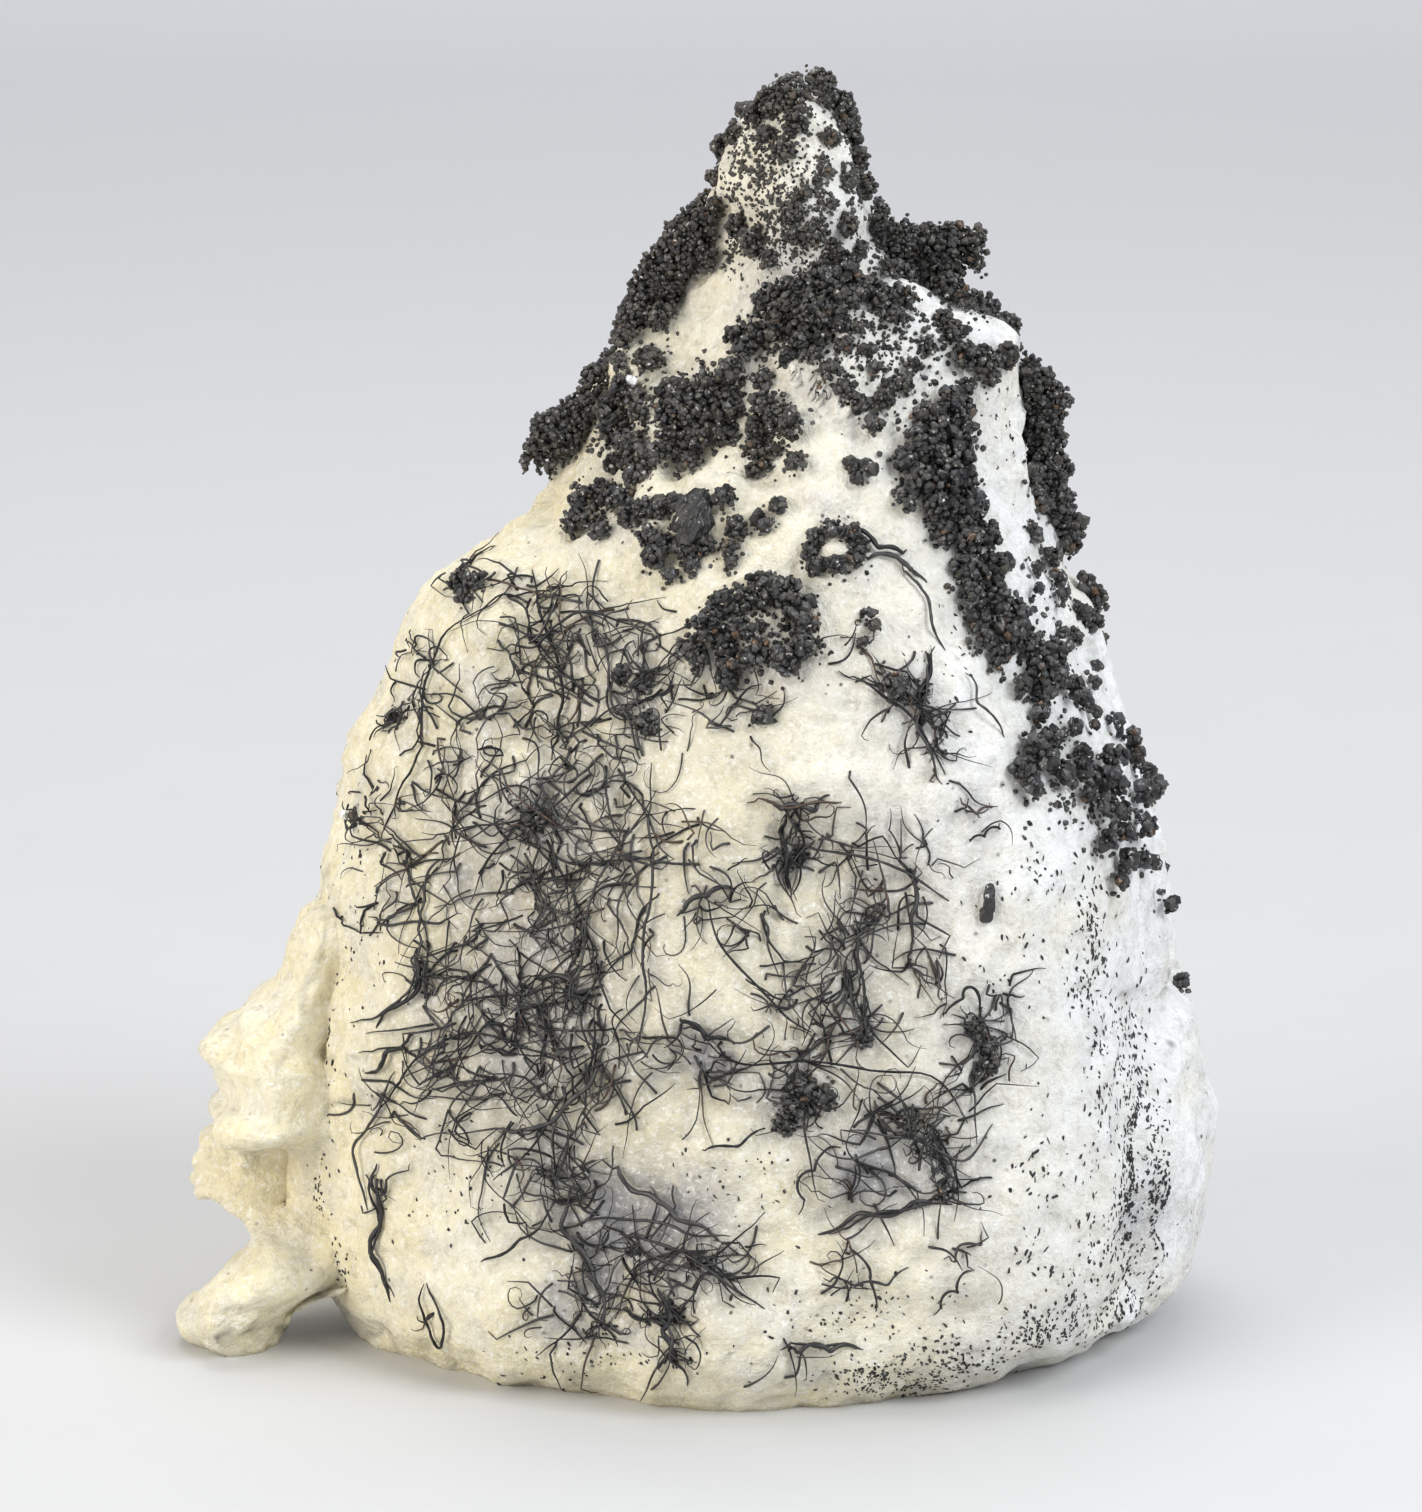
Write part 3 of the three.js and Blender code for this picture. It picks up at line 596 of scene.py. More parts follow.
rockMarks = {
    # across, down, radius, strength
    # grey stains, and painted shade: darker grey in the hollows that lie under many of these patches
    "stainsAndShade": [
        [46, 88.3, 2.2, 0.6], [63, 124, 7, 0.85], [68, 121, 5, 0.7], [58, 119, 4, 0.6],
        [70.5, 105.5, 3.8, 0.75], [86, 117.5, 4.5, 0.75], [79, 110, 4, 0.65], [98, 104, 2.5, 0.4],
        [53, 82, 3, 0.5], [56, 132, 4, 0.4], [72, 129, 3, 0.35], [86, 103, 2.4, 0.45],
        [78.8, 86, 2, 0.6], [50, 95, 6, 0.2], [57, 104, 6, 0.22], [64, 70, 3.5, 0.4],
        [77, 65, 5, 0.35], [91, 69, 3, 0.35], [62, 45, 5, 0.3], [78, 26, 3.5, 0.4],
        [52, 108, 4, 0.22], [95, 118, 4, 0.35], [114, 122, 4, 0.5], [108, 133, 5, 0.3],
        [96, 137, 5, 0.3], [80, 28, 4, 0.3],
    ],
    "yellows": [
        [72, 82, 6, 0.5], [82, 87, 6, 0.6], [60, 62, 6, 0.35], [45, 98, 8, 0.3], [88, 101, 5, 0.45],
        [76, 20, 3, 0.4], [57, 48, 5, 0.3], [40, 110, 8, 0.3], [80, 100, 6, 0.35], [66, 90, 7, 0.3],
        [90, 92, 6, 0.4], [102, 106, 6, 0.25], [74, 52, 4, 0.3], [70, 30, 5, 0.25],
    ],
    "crackWidth": 0.3,
    "cracks": [
        {"path": [[32.5, 86], [32.2, 94.6], [29.9, 100.8], [32.2, 105.3], [33, 108.7], [32.5, 112.2],
                  [31.7, 116.3], [32.5, 121.1]], "strength": 0.3},
        {"path": [[32.5, 105.4], [36.3, 105.3]], "strength": 0.4},
        {"path": [[33.6, 110.4], [38, 109.8]], "strength": 0.5},
        {"path": [[112.2, 99.6], [117.6, 97.7]], "strength": 0.5},
        {"path": [[21.5, 133.6], [24.5, 133.2], [28.5, 132.2]], "strength": 0.8},
        {"path": [[117.2, 104], [117.3, 106.5]], "strength": 0.9},
        {"path": [[68, 48.5], [66, 53], [64.5, 58], [66, 63]], "strength": 0.5},
        {"path": [[36.3, 134], [38.5, 132], [40, 135.5]], "strength": 0.5},
    ],
}


def paintRock(mesh):
    # the share of white rises from left to right as an s-curve: whiter rock on the right, with painted
    # cool light from the right laid over it. Stains and yellows are soft patches on the front and noise
    # on the back, which the photo doesn't show. The stain patches also hold painted shade in hollows and
    # under the wire mats, and the yellow holds painted brown shade in the foot's hollow
    points = readPoints(mesh)
    x, y, z = points.T
    # share of the whiter rock, and of painted cool light that makes the right side whiter and bluer
    whiteAndCoolLight = 1 / (1 + np.exp(-(x - 16 + 0.18 * (z - 60) + 7 * noise(points / 19)) / 8))
    paint(mesh, "whiteAndCoolLight", whiteAndCoolLight)
    # painted shade under each wire tuft, as wide as the tuft and darker where it has more wires
    shadeUnderWires = [[tuft[0], tuft[1], tuft[6] + 1.5, 0.012 * tuft[2]]
                  for look in wires.values() for tuft in look["tufts"]]
    behind = np.clip((y - 3) / 8, 0, 1)
    stainAndShade = patchField(points, rockMarks["stainsAndShade"] + shadeUnderWires)
    backStain = np.clip(1.6 * noise(points / 9 + 40.2) - 0.1, 0, 0.6)
    paint(mesh, "stainAndShade", np.maximum(stainAndShade, behind * backStain))
    yellow = patchField(points, rockMarks["yellows"])
    backYellow = np.clip(1.8 * noise(points / 12 + 80.4), 0, 0.7)
    yellow = np.maximum(yellow, behind * backYellow)
    # painted brown shade in the foot's largest hollow, carried in the yellow
    spotX, spotZ, halfWidth, halfHeight, _ = rockShape["footHollows"][0]
    hollowShade = np.exp(-((x - spotX) / halfWidth) ** 2 - ((z - spotZ) / halfHeight) ** 2) * (y < 0)
    paint(mesh, "yellow", np.maximum(yellow, 0.8 * hollowShade))
    paint(mesh, "crack", lineField(points, rockMarks["cracks"], rockMarks["crackWidth"]))


def rockMaterial():
    material, tree, shader = newMaterial("chalky_carbonate")
    where = addNode(tree, "ShaderNodeTexCoord").outputs["Object"]
    broad = noiseNode(tree, where, 0.014)
    middling = noiseNode(tree, where, 0.004)
    fine = noiseNode(tree, where, 0.0011, 4.0, 0.7)
    cloud = ramp(tree, middling, 0.35, 0.68)
    ivory = mixColours(tree, cloud, (0.76, 0.68, 0.45, 1), (0.86, 0.80, 0.61, 1))
    # bluish white of the right side: partly the rock's colour, partly painted cool light
    coolLitWhite = mixColours(tree, cloud, (0.80, 0.80, 0.79, 1), (0.90, 0.91, 0.93, 1))
    base = mixColours(tree, painted(tree, "whiteAndCoolLight"), ivory, coolLitWhite)
    greyShare = times(tree, ramp(tree, noiseNode(tree, where, 0.006, 4.0), 0.5, 0.7), 0.55)
    base = mixColours(tree, greyShare, base, (0.58, 0.57, 0.56, 1))
    base = mixColours(tree, ramp(tree, broad, 0.5, 0.75), base, (0.80, 0.76, 0.64, 1))
    # yellow patches, and the painted brown shade in the foot's hollow
    yellowAndHollowShade = times(tree, painted(tree, "yellow"), ramp(tree, middling, 0.25, 0.7))
    base = mixColours(tree, yellowAndHollowShade, base, (0.62, 0.52, 0.29, 1))
    blotch = ramp(tree, noiseNode(tree, where, 0.0026, 5.0, 0.7), 0.22, 0.5)
    # grey of the stains and of the painted shade in hollows and under the wire mats
    stainAndShadeShare = times(tree, painted(tree, "stainAndShade"), blotch)
    base = mixColours(tree, stainAndShadeShare, base, (0.26, 0.26, 0.30, 1))
    grains = ramp(tree, fine, 0.30, 0.50)
    base = mixColours(tree, grains, mixColours(tree, 0.42, base, (0.36, 0.32, 0.24, 1)), base)
    sugar = ramp(tree, noiseNode(tree, where, 0.0006, 3.0, 0.7), 0.52, 0.68)
    base = mixColours(tree, sugar, base, mixColours(tree, 0.55, base, (0.95, 0.95, 0.93, 1)))
    specks = addNode(tree, "ShaderNodeTexVoronoi", Vector=where, Scale=620.0, Randomness=1.0)
    speckShare = ramp(tree, specks.outputs["Distance"], 0.16, 0.10)
    sparse = ramp(tree, noiseNode(tree, where, 0.006, 2.0), 0.52, 0.66)
    base = mixColours(tree, times(tree, speckShare, sparse), base, (0.12, 0.10, 0.08, 1))
    base = mixColours(tree, painted(tree, "crack"), base, (0.10, 0.09, 0.08, 1))
    tree.links.new(base, shader.inputs["Base Color"])
    roughness = addNode(tree, "ShaderNodeMapRange", i0=middling, i3=0.72, i4=0.92)
    tree.links.new(roughness.outputs[0], shader.inputs["Roughness"])
    grain = noiseNode(tree, where, 0.0005, 3.0, 0.65)
    height = addNode(tree, "ShaderNodeMath", {"operation": "MULTIPLY_ADD"}, i0=fine, i1=1.6, i2=grain)
    bump = addNode(tree, "ShaderNodeBump", Height=height.outputs[0], Strength=0.8, Distance=0.0003)
    tree.links.new(bump.outputs[0], shader.inputs["Normal"])
    shader.inputs["Specular IOR Level"].default_value = 0.35
    return material


def blockShape(steps, roundness):
    # six square sides cut into a grid, each point drawn towards a ball by the roundness
    edge = np.linspace(-1, 1, steps + 1)
    u, v = np.meshgrid(edge, edge)
    sides = []
    for axis in range(3):
        for end in (-1, 1):
            side = np.empty(u.shape + (3,))
            side[..., axis] = end
            side[..., (axis + 1) % 3] = u * end
            side[..., (axis + 2) % 3] = v
            sides.append(side.reshape(-1, 3))
    everyPoint = np.concatenate(sides)
    points, index = np.unique(np.round(everyPoint, 6), axis=0, return_inverse=True)
    row = np.arange(steps)[:, None] * (steps + 1) + np.arange(steps)
    quads = np.stack([row, row + 1, row + steps + 2, row + steps + 1], axis=-1).reshape(-1, 4)
    offsets = np.arange(6)[:, None, None] * (steps + 1) ** 2
    quads = index.ravel()[(quads[None] + offsets).reshape(-1, 4)]
    ball = points / np.linalg.norm(points, axis=1, keepdims=True)
    return points * (1 - roundness) * 0.8 + ball * roundness, quads


def grainForm():
    # the twenty-sided solid: corners at the ends of three crossed golden rectangles
    long = (1 + 5**0.5) / 2
    corners = [[-1, long, 0], [1, long, 0], [-1, -long, 0], [1, -long, 0],
               [0, -1, long], [0, 1, long], [0, -1, -long], [0, 1, -long],
               [long, 0, -1], [long, 0, 1], [-long, 0, -1], [-long, 0, 1]]
    faces = [[0, 11, 5], [0, 5, 1], [0, 1, 7], [0, 7, 10], [0, 10, 11], [1, 5, 9], [5, 11, 4],
             [11, 10, 2], [10, 7, 6], [7, 1, 8], [3, 9, 4], [3, 4, 2], [3, 2, 6], [3, 6, 8],
             [3, 8, 9], [4, 9, 5], [2, 4, 11], [6, 2, 10], [8, 6, 7], [9, 8, 1]]
    return np.array(corners) / np.hypot(1, long), np.array(faces)


def turnMatrices(rng, count):  # evenly spread random turns, from unit quaternions
    q = rng.normal(size=(count, 4))
    w, x, y, z = (q / np.linalg.norm(q, axis=1, keepdims=True)).T
    rows = [[1 - 2 * (y * y + z * z), 2 * (x * y - z * w), 2 * (x * z + y * w)],
            [2 * (x * y + z * w), 1 - 2 * (x * x + z * z), 2 * (y * z - x * w)],
            [2 * (x * z - y * w), 2 * (y * z + x * w), 1 - 2 * (x * x + y * y)]]
    return np.moveaxis(np.array(rows), -1, 0)


def scatterGrains(rng, places, radii):
    # one uneven grain at each place: turned, stretched and with its corners moved a little
    points, faces = grainForm()
    count = len(places)
    stretch = rng.uniform(0.7, 1.2, (count, 1, 3))
    uneven = 1 + rng.uniform(-0.2, 0.2, (count, len(points), 1))
    local = points[None] * stretch * uneven * radii[:, None, None]
    local = np.einsum("nij,npj->npi", turnMatrices(rng, count), local)
    allPoints = (local + places[:, None]).reshape(-1, 3)
    allFaces = (faces[None] + (np.arange(count) * len(points))[:, None, None]).reshape(-1, 3)
    return allPoints, allFaces


def tangents(facing):  # two directions along the surface, at right angles to where it faces
    first = np.cross(facing, [0.0, 0.0, 1.0])
    first /= np.maximum(np.linalg.norm(first, axis=-1, keepdims=True), 1e-6)
    return first, np.cross(facing, first)


# Silver crusts: for each lump across, down and radius. Grain is a grain's radius, dust how much
# brown dust lies on it, and raise how far the lumps stand off the rock.
crusts = {
    "crown_crust": {"grain": 0.31, "dust": 0.9, "raise": 0.1, "dusting": [
        [75, 17.5, 3, 4, 260, 0.2], [78.5, 22.5, 4, 2.5, 240, 0.2], [82, 18.6, 0.7, 4, 110, 0.2],
        [85.4, 17.4, 1.4, 4, 150, 0.24], [77.4, 14, 3, 1.6, 130, 0.22], [73, 25.4, 1.6, 2, 60, 0.2]],
        "lumps": [
        [79.6, 9.4, 2.2], [81.7, 8.6, 1.7], [77.6, 10.6, 2], [83.6, 11, 1.8], [75.8, 11.8, 1.5],
        [73.4, 13.6, 1.2], [85, 13.2, 1.6], [85.6, 15.8, 1.5], [86, 18.6, 1.4], [86.8, 21.2, 1.3],
        [78.5, 15.4, 1.2], [80.1, 19.4, 1.1], [82.8, 13.9, 1.1], [79.4, 21, 1.2], [74.3, 22.8, 1.5],
        [75.7, 24.2, 1.6], [77.1, 25.8, 1], [81.2, 23.3, 1.3], [84.2, 22.4, 1.3], [71.6, 17.8, 0.9],
        [71.2, 20.4, 0.9], [71, 26.1, 1.2], [82.6, 17.4, 0.7], [82.8, 20.4, 0.7], [79.8, 12.4, 1.6],
        [76.8, 13.6, 0.9], [84.4, 18, 0.8], [79.4, 23.6, 0.9], [83, 25.2, 1.2], [85.6, 25, 1]]},
    "left_shoulder_crust": {"grain": 0.34, "dust": 0.8, "raise": 0.5, "lumps": [
        [69.6, 22.4, 1.8], [68, 24.7, 2.2], [66.4, 27, 2.3], [65, 29.3, 2.4], [64, 31.1, 2],
        [67.4, 29.2, 1.9], [64.6, 32.5, 2], [68.9, 27.2, 1.6], [66.2, 32.2, 1.6], [63.2, 34.6, 1.4],
        [69.8, 25, 1.3], [62.8, 32.8, 1.2], [64.4, 35.8, 1.2]]},
    "left_band_crust": {"grain": 0.36, "dust": 0.7, "raise": 0.3, "dusting": [
        [60, 42, 5, 4, 220, 0.24]],
        "lumps": [
        [60.6, 37.4, 1.5], [62.4, 38.9, 1.6], [59.2, 40.3, 2], [57, 41.7, 2.1], [55.2, 43, 2],
        [54.4, 44.4, 1.7], [58.3, 43.5, 1.8], [61.5, 43, 2], [63.3, 44.4, 1.7], [61, 46.2, 1.2],
        [64.2, 41.2, 1.1], [63.8, 46.7, 1.3], [60.8, 40.8, 1.6], [56.4, 44.6, 1.5], [62.6, 36.4, 1],
        [65.1, 45.6, 1.2], [64.1, 47.6, 1.3], [63.6, 39.4, 0.9], [53.2, 46.2, 0.9]],
        # painted glints: white grains given as across, down, radius and lift
        "paintedGlints": [[63.6, 38.4, 0.55, 2], [63.9, 38.7, 0.45, 2]]},
    "middle_crust": {"grain": 0.38, "dust": 0.65, "raise": 0.5, "dusting": [
        [71, 40, 5, 4, 260, 0.24], [77, 43, 3, 4, 110, 0.22], [75, 33.5, 2, 2, 60, 0.22]],
        "lumps": [
        [73.7, 33.8, 1.2], [74.8, 35.4, 1.5], [73.2, 37.4, 1.5], [71.3, 38.7, 1.5], [69.2, 39.2, 1.2],
        [67.3, 39.2, 1.4], [66.8, 41.2, 1.6], [68.4, 42.6, 2], [70.4, 41.2, 1.9], [73.2, 40.4, 1.6],
        [70.8, 43.8, 1.8], [68.4, 44.9, 1.8], [72.6, 43.3, 1.4], [65.6, 45.6, 1.3], [69.4, 47, 1.1],
        [77.2, 40.6, 1.5], [76.1, 42.8, 1.3], [78, 41.9, 1.5], [79.6, 42.8, 1.5], [75.9, 44.9, 1],
        [75.9, 46.9, 1.3], [77.5, 45.2, 1], [80.1, 46.5, 1], [76.4, 38.2, 1.2], [66.4, 43.4, 1.2]]},
    "upper_ridge_crust": {"grain": 0.36, "dust": 0.45, "raise": 0.5, "dusting": [
        [87, 33, 5, 6, 260, 0.24], [79, 34.6, 4, 3, 110, 0.24]],
        "lumps": [
        [77.2, 30.2, 1.8], [79.4, 29.4, 2], [82.1, 28.1, 2], [84.2, 27.2, 1.8], [81.7, 31.1, 1.9],
        [78.4, 32.4, 1.8], [76.2, 33.4, 1.4], [80, 33.8, 1.6], [79.2, 35.6, 1], [84, 30.2, 1.4],
        [85.8, 29.2, 1.6], [87.6, 30.2, 1.6], [84, 32.6, 1.1], [84.4, 35, 0.9], [83.1, 37.8, 1.1],
        [81.9, 35.8, 1], [82.3, 34, 1.2], [84.5, 39.3, 1.2], [85.8, 33.2, 0.8], [86.7, 35.1, 0.8],
        [87.6, 37, 0.8], [89, 38.6, 0.8], [85.8, 40.7, 1.1], [88.1, 40.2, 1.2], [87, 42.4, 1.1],
        [88.6, 27.4, 1.3], [89.2, 32, 1.1]]},
    "right_shoulder_crust": {"grain": 0.36, "dust": 0.55, "raise": 0.4, "dusting": [
        [90, 25, 4, 2.4, 190, 0.28], [94, 34, 3.4, 3, 100, 0.24]],
        "lumps": [
        [87.2, 23.6, 1.4], [88.6, 25.8, 1.7], [90.6, 25.4, 1.7], [92.4, 25, 1.8], [94.4, 24.6, 2],
        [96.2, 25, 1.9], [97, 26.6, 1.4], [90.2, 27.8, 1.7], [92.4, 27.4, 1.7], [94.7, 27.2, 1.7],
        [90, 30.4, 1.3], [93.8, 29.6, 1.7], [95.6, 29.2, 1.5], [96.4, 31.2, 1.5], [94.2, 32.2, 1.2],
        [92.8, 34.4, 1], [95.2, 33.6, 1.2], [96.4, 35.6, 1.5], [98.2, 36, 1.5], [100, 35.8, 1.3],
        [98.6, 37.8, 1.1], [96.8, 38.7, 1], [91.3, 36.6, 1], [90.6, 38.4, 0.9]]},
    "ridge_band_crust": {"grain": 0.47, "dust": 0.2, "raise": 0.8, "dusting": [
        [95, 48, 3.6, 8, 160, 0.3], [101.5, 64, 4, 5, 110, 0.3]],
        "lumps": [
        [94.1, 40.3, 1.5], [95.9, 40.9, 1.5], [92.7, 42.1, 1.7], [95, 43, 1.9], [91.3, 44, 1.7],
        [90.4, 46.2, 1.6], [93.2, 45.3, 2], [95.3, 45.9, 1.8], [91.3, 48.4, 1.7], [93.6, 48.2, 2],
        [95.8, 48.6, 1.7], [90.3, 50.4, 1.1], [92.7, 50.8, 1.6], [95, 51.3, 1.9], [97.1, 51, 1.5],
        [95.9, 54, 1.9], [93.8, 53.5, 1.3], [98, 53.7, 1.5], [96.1, 57, 1.6], [98.4, 57, 1.8],
        [99.9, 56.2, 1], [96.5, 59.8, 1.5], [99, 60.2, 1.8], [100.9, 61.4, 1.2], [97.7, 62, 1.2],
        [97.5, 64.2, 1.2], [100, 63.3, 1.8], [99.2, 65.3, 1.3], [101.9, 64.6, 1.5],
        [104, 65.8, 1.5], [102.5, 67.2, 1.8], [104.8, 67.7, 1.6], [101.5, 68.7, 1.2],
        [103.4, 69.5, 1.4], [106.1, 69.2, 1.3], [103, 71.5, 1.1], [107.9, 70.4, 1.1],
        [109.4, 71.2, 0.8], [109, 68.4, 0.7], [104.9, 58, 0.9], [102.7, 57.2, 0.9], [105.3, 59.8, 0.7],
        [102.7, 59.4, 0.6], [106.1, 63.3, 0.6], [106.3, 64.8, 0.5], [85.2, 46.6, 0.8],
        [86.7, 47.1, 0.9], [85.6, 48.1, 0.6]]},
    "right_edge_crust": {"grain": 0.4, "dust": 0.6, "raise": 0.2, "lumps": [
        [102.6, 37, 1.4], [104, 38.4, 1.7], [105, 40.2, 1.6], [104.4, 42.1, 1.8], [105.4, 43.8, 1.7],
        [104, 45, 1.9], [105.8, 46.8, 1.7], [104, 48.2, 1.9], [102.4, 47.6, 1.3], [106, 50, 1.7],
        [104.8, 51.4, 1.9], [106.4, 52.6, 1.6], [103.6, 50.2, 1.3], [105.8, 54.2, 1.6],
        [104.6, 56, 1.2], [103.2, 53.4, 1]]},
    "edge_knob": {"grain": 0.4, "dust": 0.4, "raise": 0.1, "lumps": [
        [108.6, 58.4, 1.3], [109, 60, 1.4], [108.8, 62.2, 1.3], [108, 61.2, 1], [107.8, 63.6, 0.9],
        [109.6, 66.6, 0.8]]},
    "outer_right_crust": {"grain": 0.5, "dust": 0.08, "raise": 1.0, "dusting": [
        [108, 79, 5, 4, 110, 0.28]],
        "lumps": [
        [102.3, 75.1, 1.4], [104.2, 74.1, 1.4], [106, 73.2, 1], [102, 77.3, 1.4], [103.8, 76.4, 1.3],
        [102.4, 78.8, 1.1], [105.3, 77.8, 1.3], [106.9, 77.5, 1.2], [107.8, 75.7, 1],
        [109.5, 76.4, 1.3], [111, 76, 1.1], [109.2, 78.2, 1.4], [108, 79.6, 1], [110.3, 79, 1.2],
        [109.5, 81.1, 1.2], [111.1, 81.3, 1], [109.9, 84.1, 1.2], [111.5, 83.4, 1.2],
        [113.4, 82.6, 1.3], [111.8, 86, 1.3], [113.2, 85.7, 1.1], [114.3, 86.2, 0.8],
        [111.5, 88.2, 0.9], [113.2, 79.6, 1.4], [114.6, 79, 1.2], [113.4, 77.6, 1.1],
        [113, 75.5, 1.1], [112.2, 73.8, 1], [110.9, 72.8, 0.8], [108.6, 72.9, 0.5],
        [116, 90.4, 0.9], [117.6, 98.6, 1]],
        "crystals": [[98.8, 90, 0.6, 1.3, 0.7], [98.6, 91.4, 0.7, 0.8, 0.5], [98.9, 89, 0.5, 0.7, 0.6]]},
    "lower_band_crust": {"grain": 0.4, "dust": 0.4, "raise": 0.5, "lumps": [
        [58.7, 50, 1.5], [60.1, 49.1, 1.4], [61.4, 49.8, 1.4], [57.8, 52.5, 1.5], [59.5, 52.4, 1.3],
        [60.6, 53.6, 1.1], [62.7, 49.9, 1.3], [63, 51.9, 1.1]]},
    "centre_crust": {"grain": 0.38, "dust": 0.4, "raise": 0.4, "lumps": [
        [64.8, 51.1, 1.4], [66.5, 51.1, 1.4], [65.3, 54, 1.1], [65.8, 55.9, 1.3], [66.8, 54.6, 1.3],
        [67.8, 50.6, 1], [72.6, 50.7, 1.3], [73.6, 52.9, 1.3], [73.2, 55, 0.9], [73.2, 56.4, 0.7],
        [67.3, 57.8, 0.9], [69.4, 57, 0.9], [75.9, 52.1, 0.9], [78, 50.9, 1], [76.7, 52.9, 0.8],
        [69.6, 55.8, 1.4], [68.4, 54.6, 1.1], [71, 54.8, 1.1]],
        "crystals": [[69.8, 52.3, 1.9, 2.9, 1.0]]},
    "hooked_crust": {"grain": 0.36, "dust": 0.2, "raise": 0.4, "lumps": [
        [81.6, 53.9, 1], [83.1, 53.1, 1], [85, 53.6, 1.1], [86, 54.8, 0.9], [85.4, 56.2, 1.1],
        [83.6, 57, 1.2], [81.7, 56.8, 1.1], [81.2, 55.3, 0.9]]},
    "knob_crust": {"grain": 0.42, "dust": 0.3, "raise": 0.9, "dusting": [
        [76, 63, 5, 4, 120, 0.26]],
        "lumps": [
        [76.2, 59.3, 1.8], [74.3, 60.3, 1.5], [78.5, 59.6, 1.7], [80, 61.1, 1.7], [80.6, 63, 1.4],
        [80.6, 65.1, 1.5], [78.9, 66.2, 1.7], [76.2, 65.2, 1.4], [75.3, 66.3, 1.1],
        [72.8, 60.9, 1.4], [71.5, 62.9, 1.5], [72.8, 64.2, 1.4], [69.4, 65, 1.4], [70.3, 66.2, 1.1],
        [73.2, 67, 1.2], [73, 68.4, 1], [74.9, 63.2, 1.2], [86.6, 61.8, 0.6], [87.3, 62.9, 0.6],
        [86.3, 64.3, 0.6], [88.9, 68.6, 1.4], [76.2, 71.6, 1]]},
    "lower_knot": {"grain": 0.34, "dust": 0.3, "raise": 0.1, "lumps": [
        [78.6, 112.4, 1.2], [79.2, 110.4, 1.3], [80.8, 108.8, 1.3], [82.4, 109.6, 1.1],
        [79.8, 108, 0.9], [86.2, 103.8, 1]]},
    "right_knot": {"grain": 0.3, "dust": 0.3, "raise": 0.0, "lumps": [
        [97.6, 102.8, 1], [98.6, 104.6, 1.1], [98.8, 106.6, 1], [97.6, 107.4, 0.7], [94.4, 119.4, 0.9],
        [91, 112.2, 1]]},
    # the first three lumps are the knot itself, and the others are knots elsewhere in the left mats
    "left_knot": {"grain": 0.32, "dust": 0.4, "raise": 0.0, "lumps": [
        [46, 58.2, 1.3], [47.8, 58.6, 1.3], [46.8, 59.8, 0.9], [62.6, 67.6, 1], [64.8, 72.4, 1.3],
        [53.4, 82, 1.4], [38.8, 71.6, 0.9], [35.4, 81.6, 0.8], [64.4, 68.6, 0.9]],
        # painted glints: white grains given as across, down, radius and lift
        "paintedGlints": [[35.3, 81.5, 0.45, 1.4], [35, 81.8, 0.35, 1.3]]},
}
crystalShape = blockShape(10, 0.85)


def bridgedLumps(lumps):
    # the seats of the lumps. One that lies beyond the rock's outline is carried by others, in equal
    # steps back to the edge
    across, down, sizes = lumps.T
    turn, height, beyond = findOnFace(across, down)
    edge, facing = onRock(block, turn, height)
    far = np.linalg.norm(beyond, axis=1)
    seats, facings, radii, outside = [edge + beyond], [facing], [sizes], [far > 0.4 * sizes]
    for share in (0.3, 0.65):
        out = far > (1.4 - share) * sizes
        seats.append((edge + beyond * share)[out])
        facings.append(facing[out])
        radii.append(sizes[out])
        outside.append(out[out])
    return [np.concatenate(parts) for parts in (seats, facings, radii, outside)]


def crustPlaces(rng, look, lumps):
    # grains over the dome of each lump and crowded inside it, then crumbs on the rock around it
    grain = look["grain"]
    seats, facings, sizes, outside = lumps
    places, radii = [], []
    for seat, facing, radius, isOut in zip(seats, facings, sizes, outside):
        side, up = tangents(facing)
        raised = 0 if isOut else look["raise"] * rng.uniform(0.4, 1.3)
        for layer, crowd in ((1.0, 2.9), (0.55, 1.8)):
            count = int(crowd * (radius * layer / grain) ** 2) + 3
            n = np.arange(count) + 0.5
            rise = np.clip(1.1 - 1.5 * n / count + rng.uniform(-0.15, 0.15, count), -0.5, 1)
            angle = n * goldenAngle + rng.uniform(-0.5, 0.5, count)
            level = np.sqrt(1 - rise**2)
            ray = np.stack([level * np.cos(angle), level * np.sin(angle), rise], axis=-1)
            dome = rng.uniform(0.68, 1.05, count) * max(radius - grain * 0.5, 0.3) * layer
            dome = dome * (1 + 0.3 * noise(ray * 1.6 + seat))
            spot = (side * (level * np.cos(angle) * dome)[:, None]
                    + up * (level * np.sin(angle) * dome)[:, None]
                    + facing * (rise * dome * 0.85 + 0.25 * radius + raised)[:, None])
            places.append(seat + spot)
            size = grain * rng.uniform(0.55, 1.1, count)
            radii.append(size * rng.choice([1, 1.45], count, p=[0.85, 0.15]))
        count = int(6 * radius) + 3
        angle = rng.uniform(0, 2 * np.pi, count)
        out = radius * rng.uniform(0.6, 1.7, count)
        spot = side * (out * np.cos(angle))[:, None] + up * (out * np.sin(angle))[:, None]
        places.append(seat + spot + facing * rng.uniform(-0.2, 0.1 + raised, (count, 1)))
        radii.append(grain * rng.uniform(0.35, 0.8, count))
    for field in np.array(look.get("dusting", []), float):
        spread = rng.normal(0, 0.5, (int(field[4]), 2)) * field[2:4]
        seats, facings = seatOnFace(field[0] + spread[:, 0], field[1] + spread[:, 1], block, 0.0)
        places.append(seats + facings * 0.05)
        radii.append(field[5] * rng.uniform(0.5, 1.5, len(seats)))
    return np.concatenate(places), np.concatenate(radii)


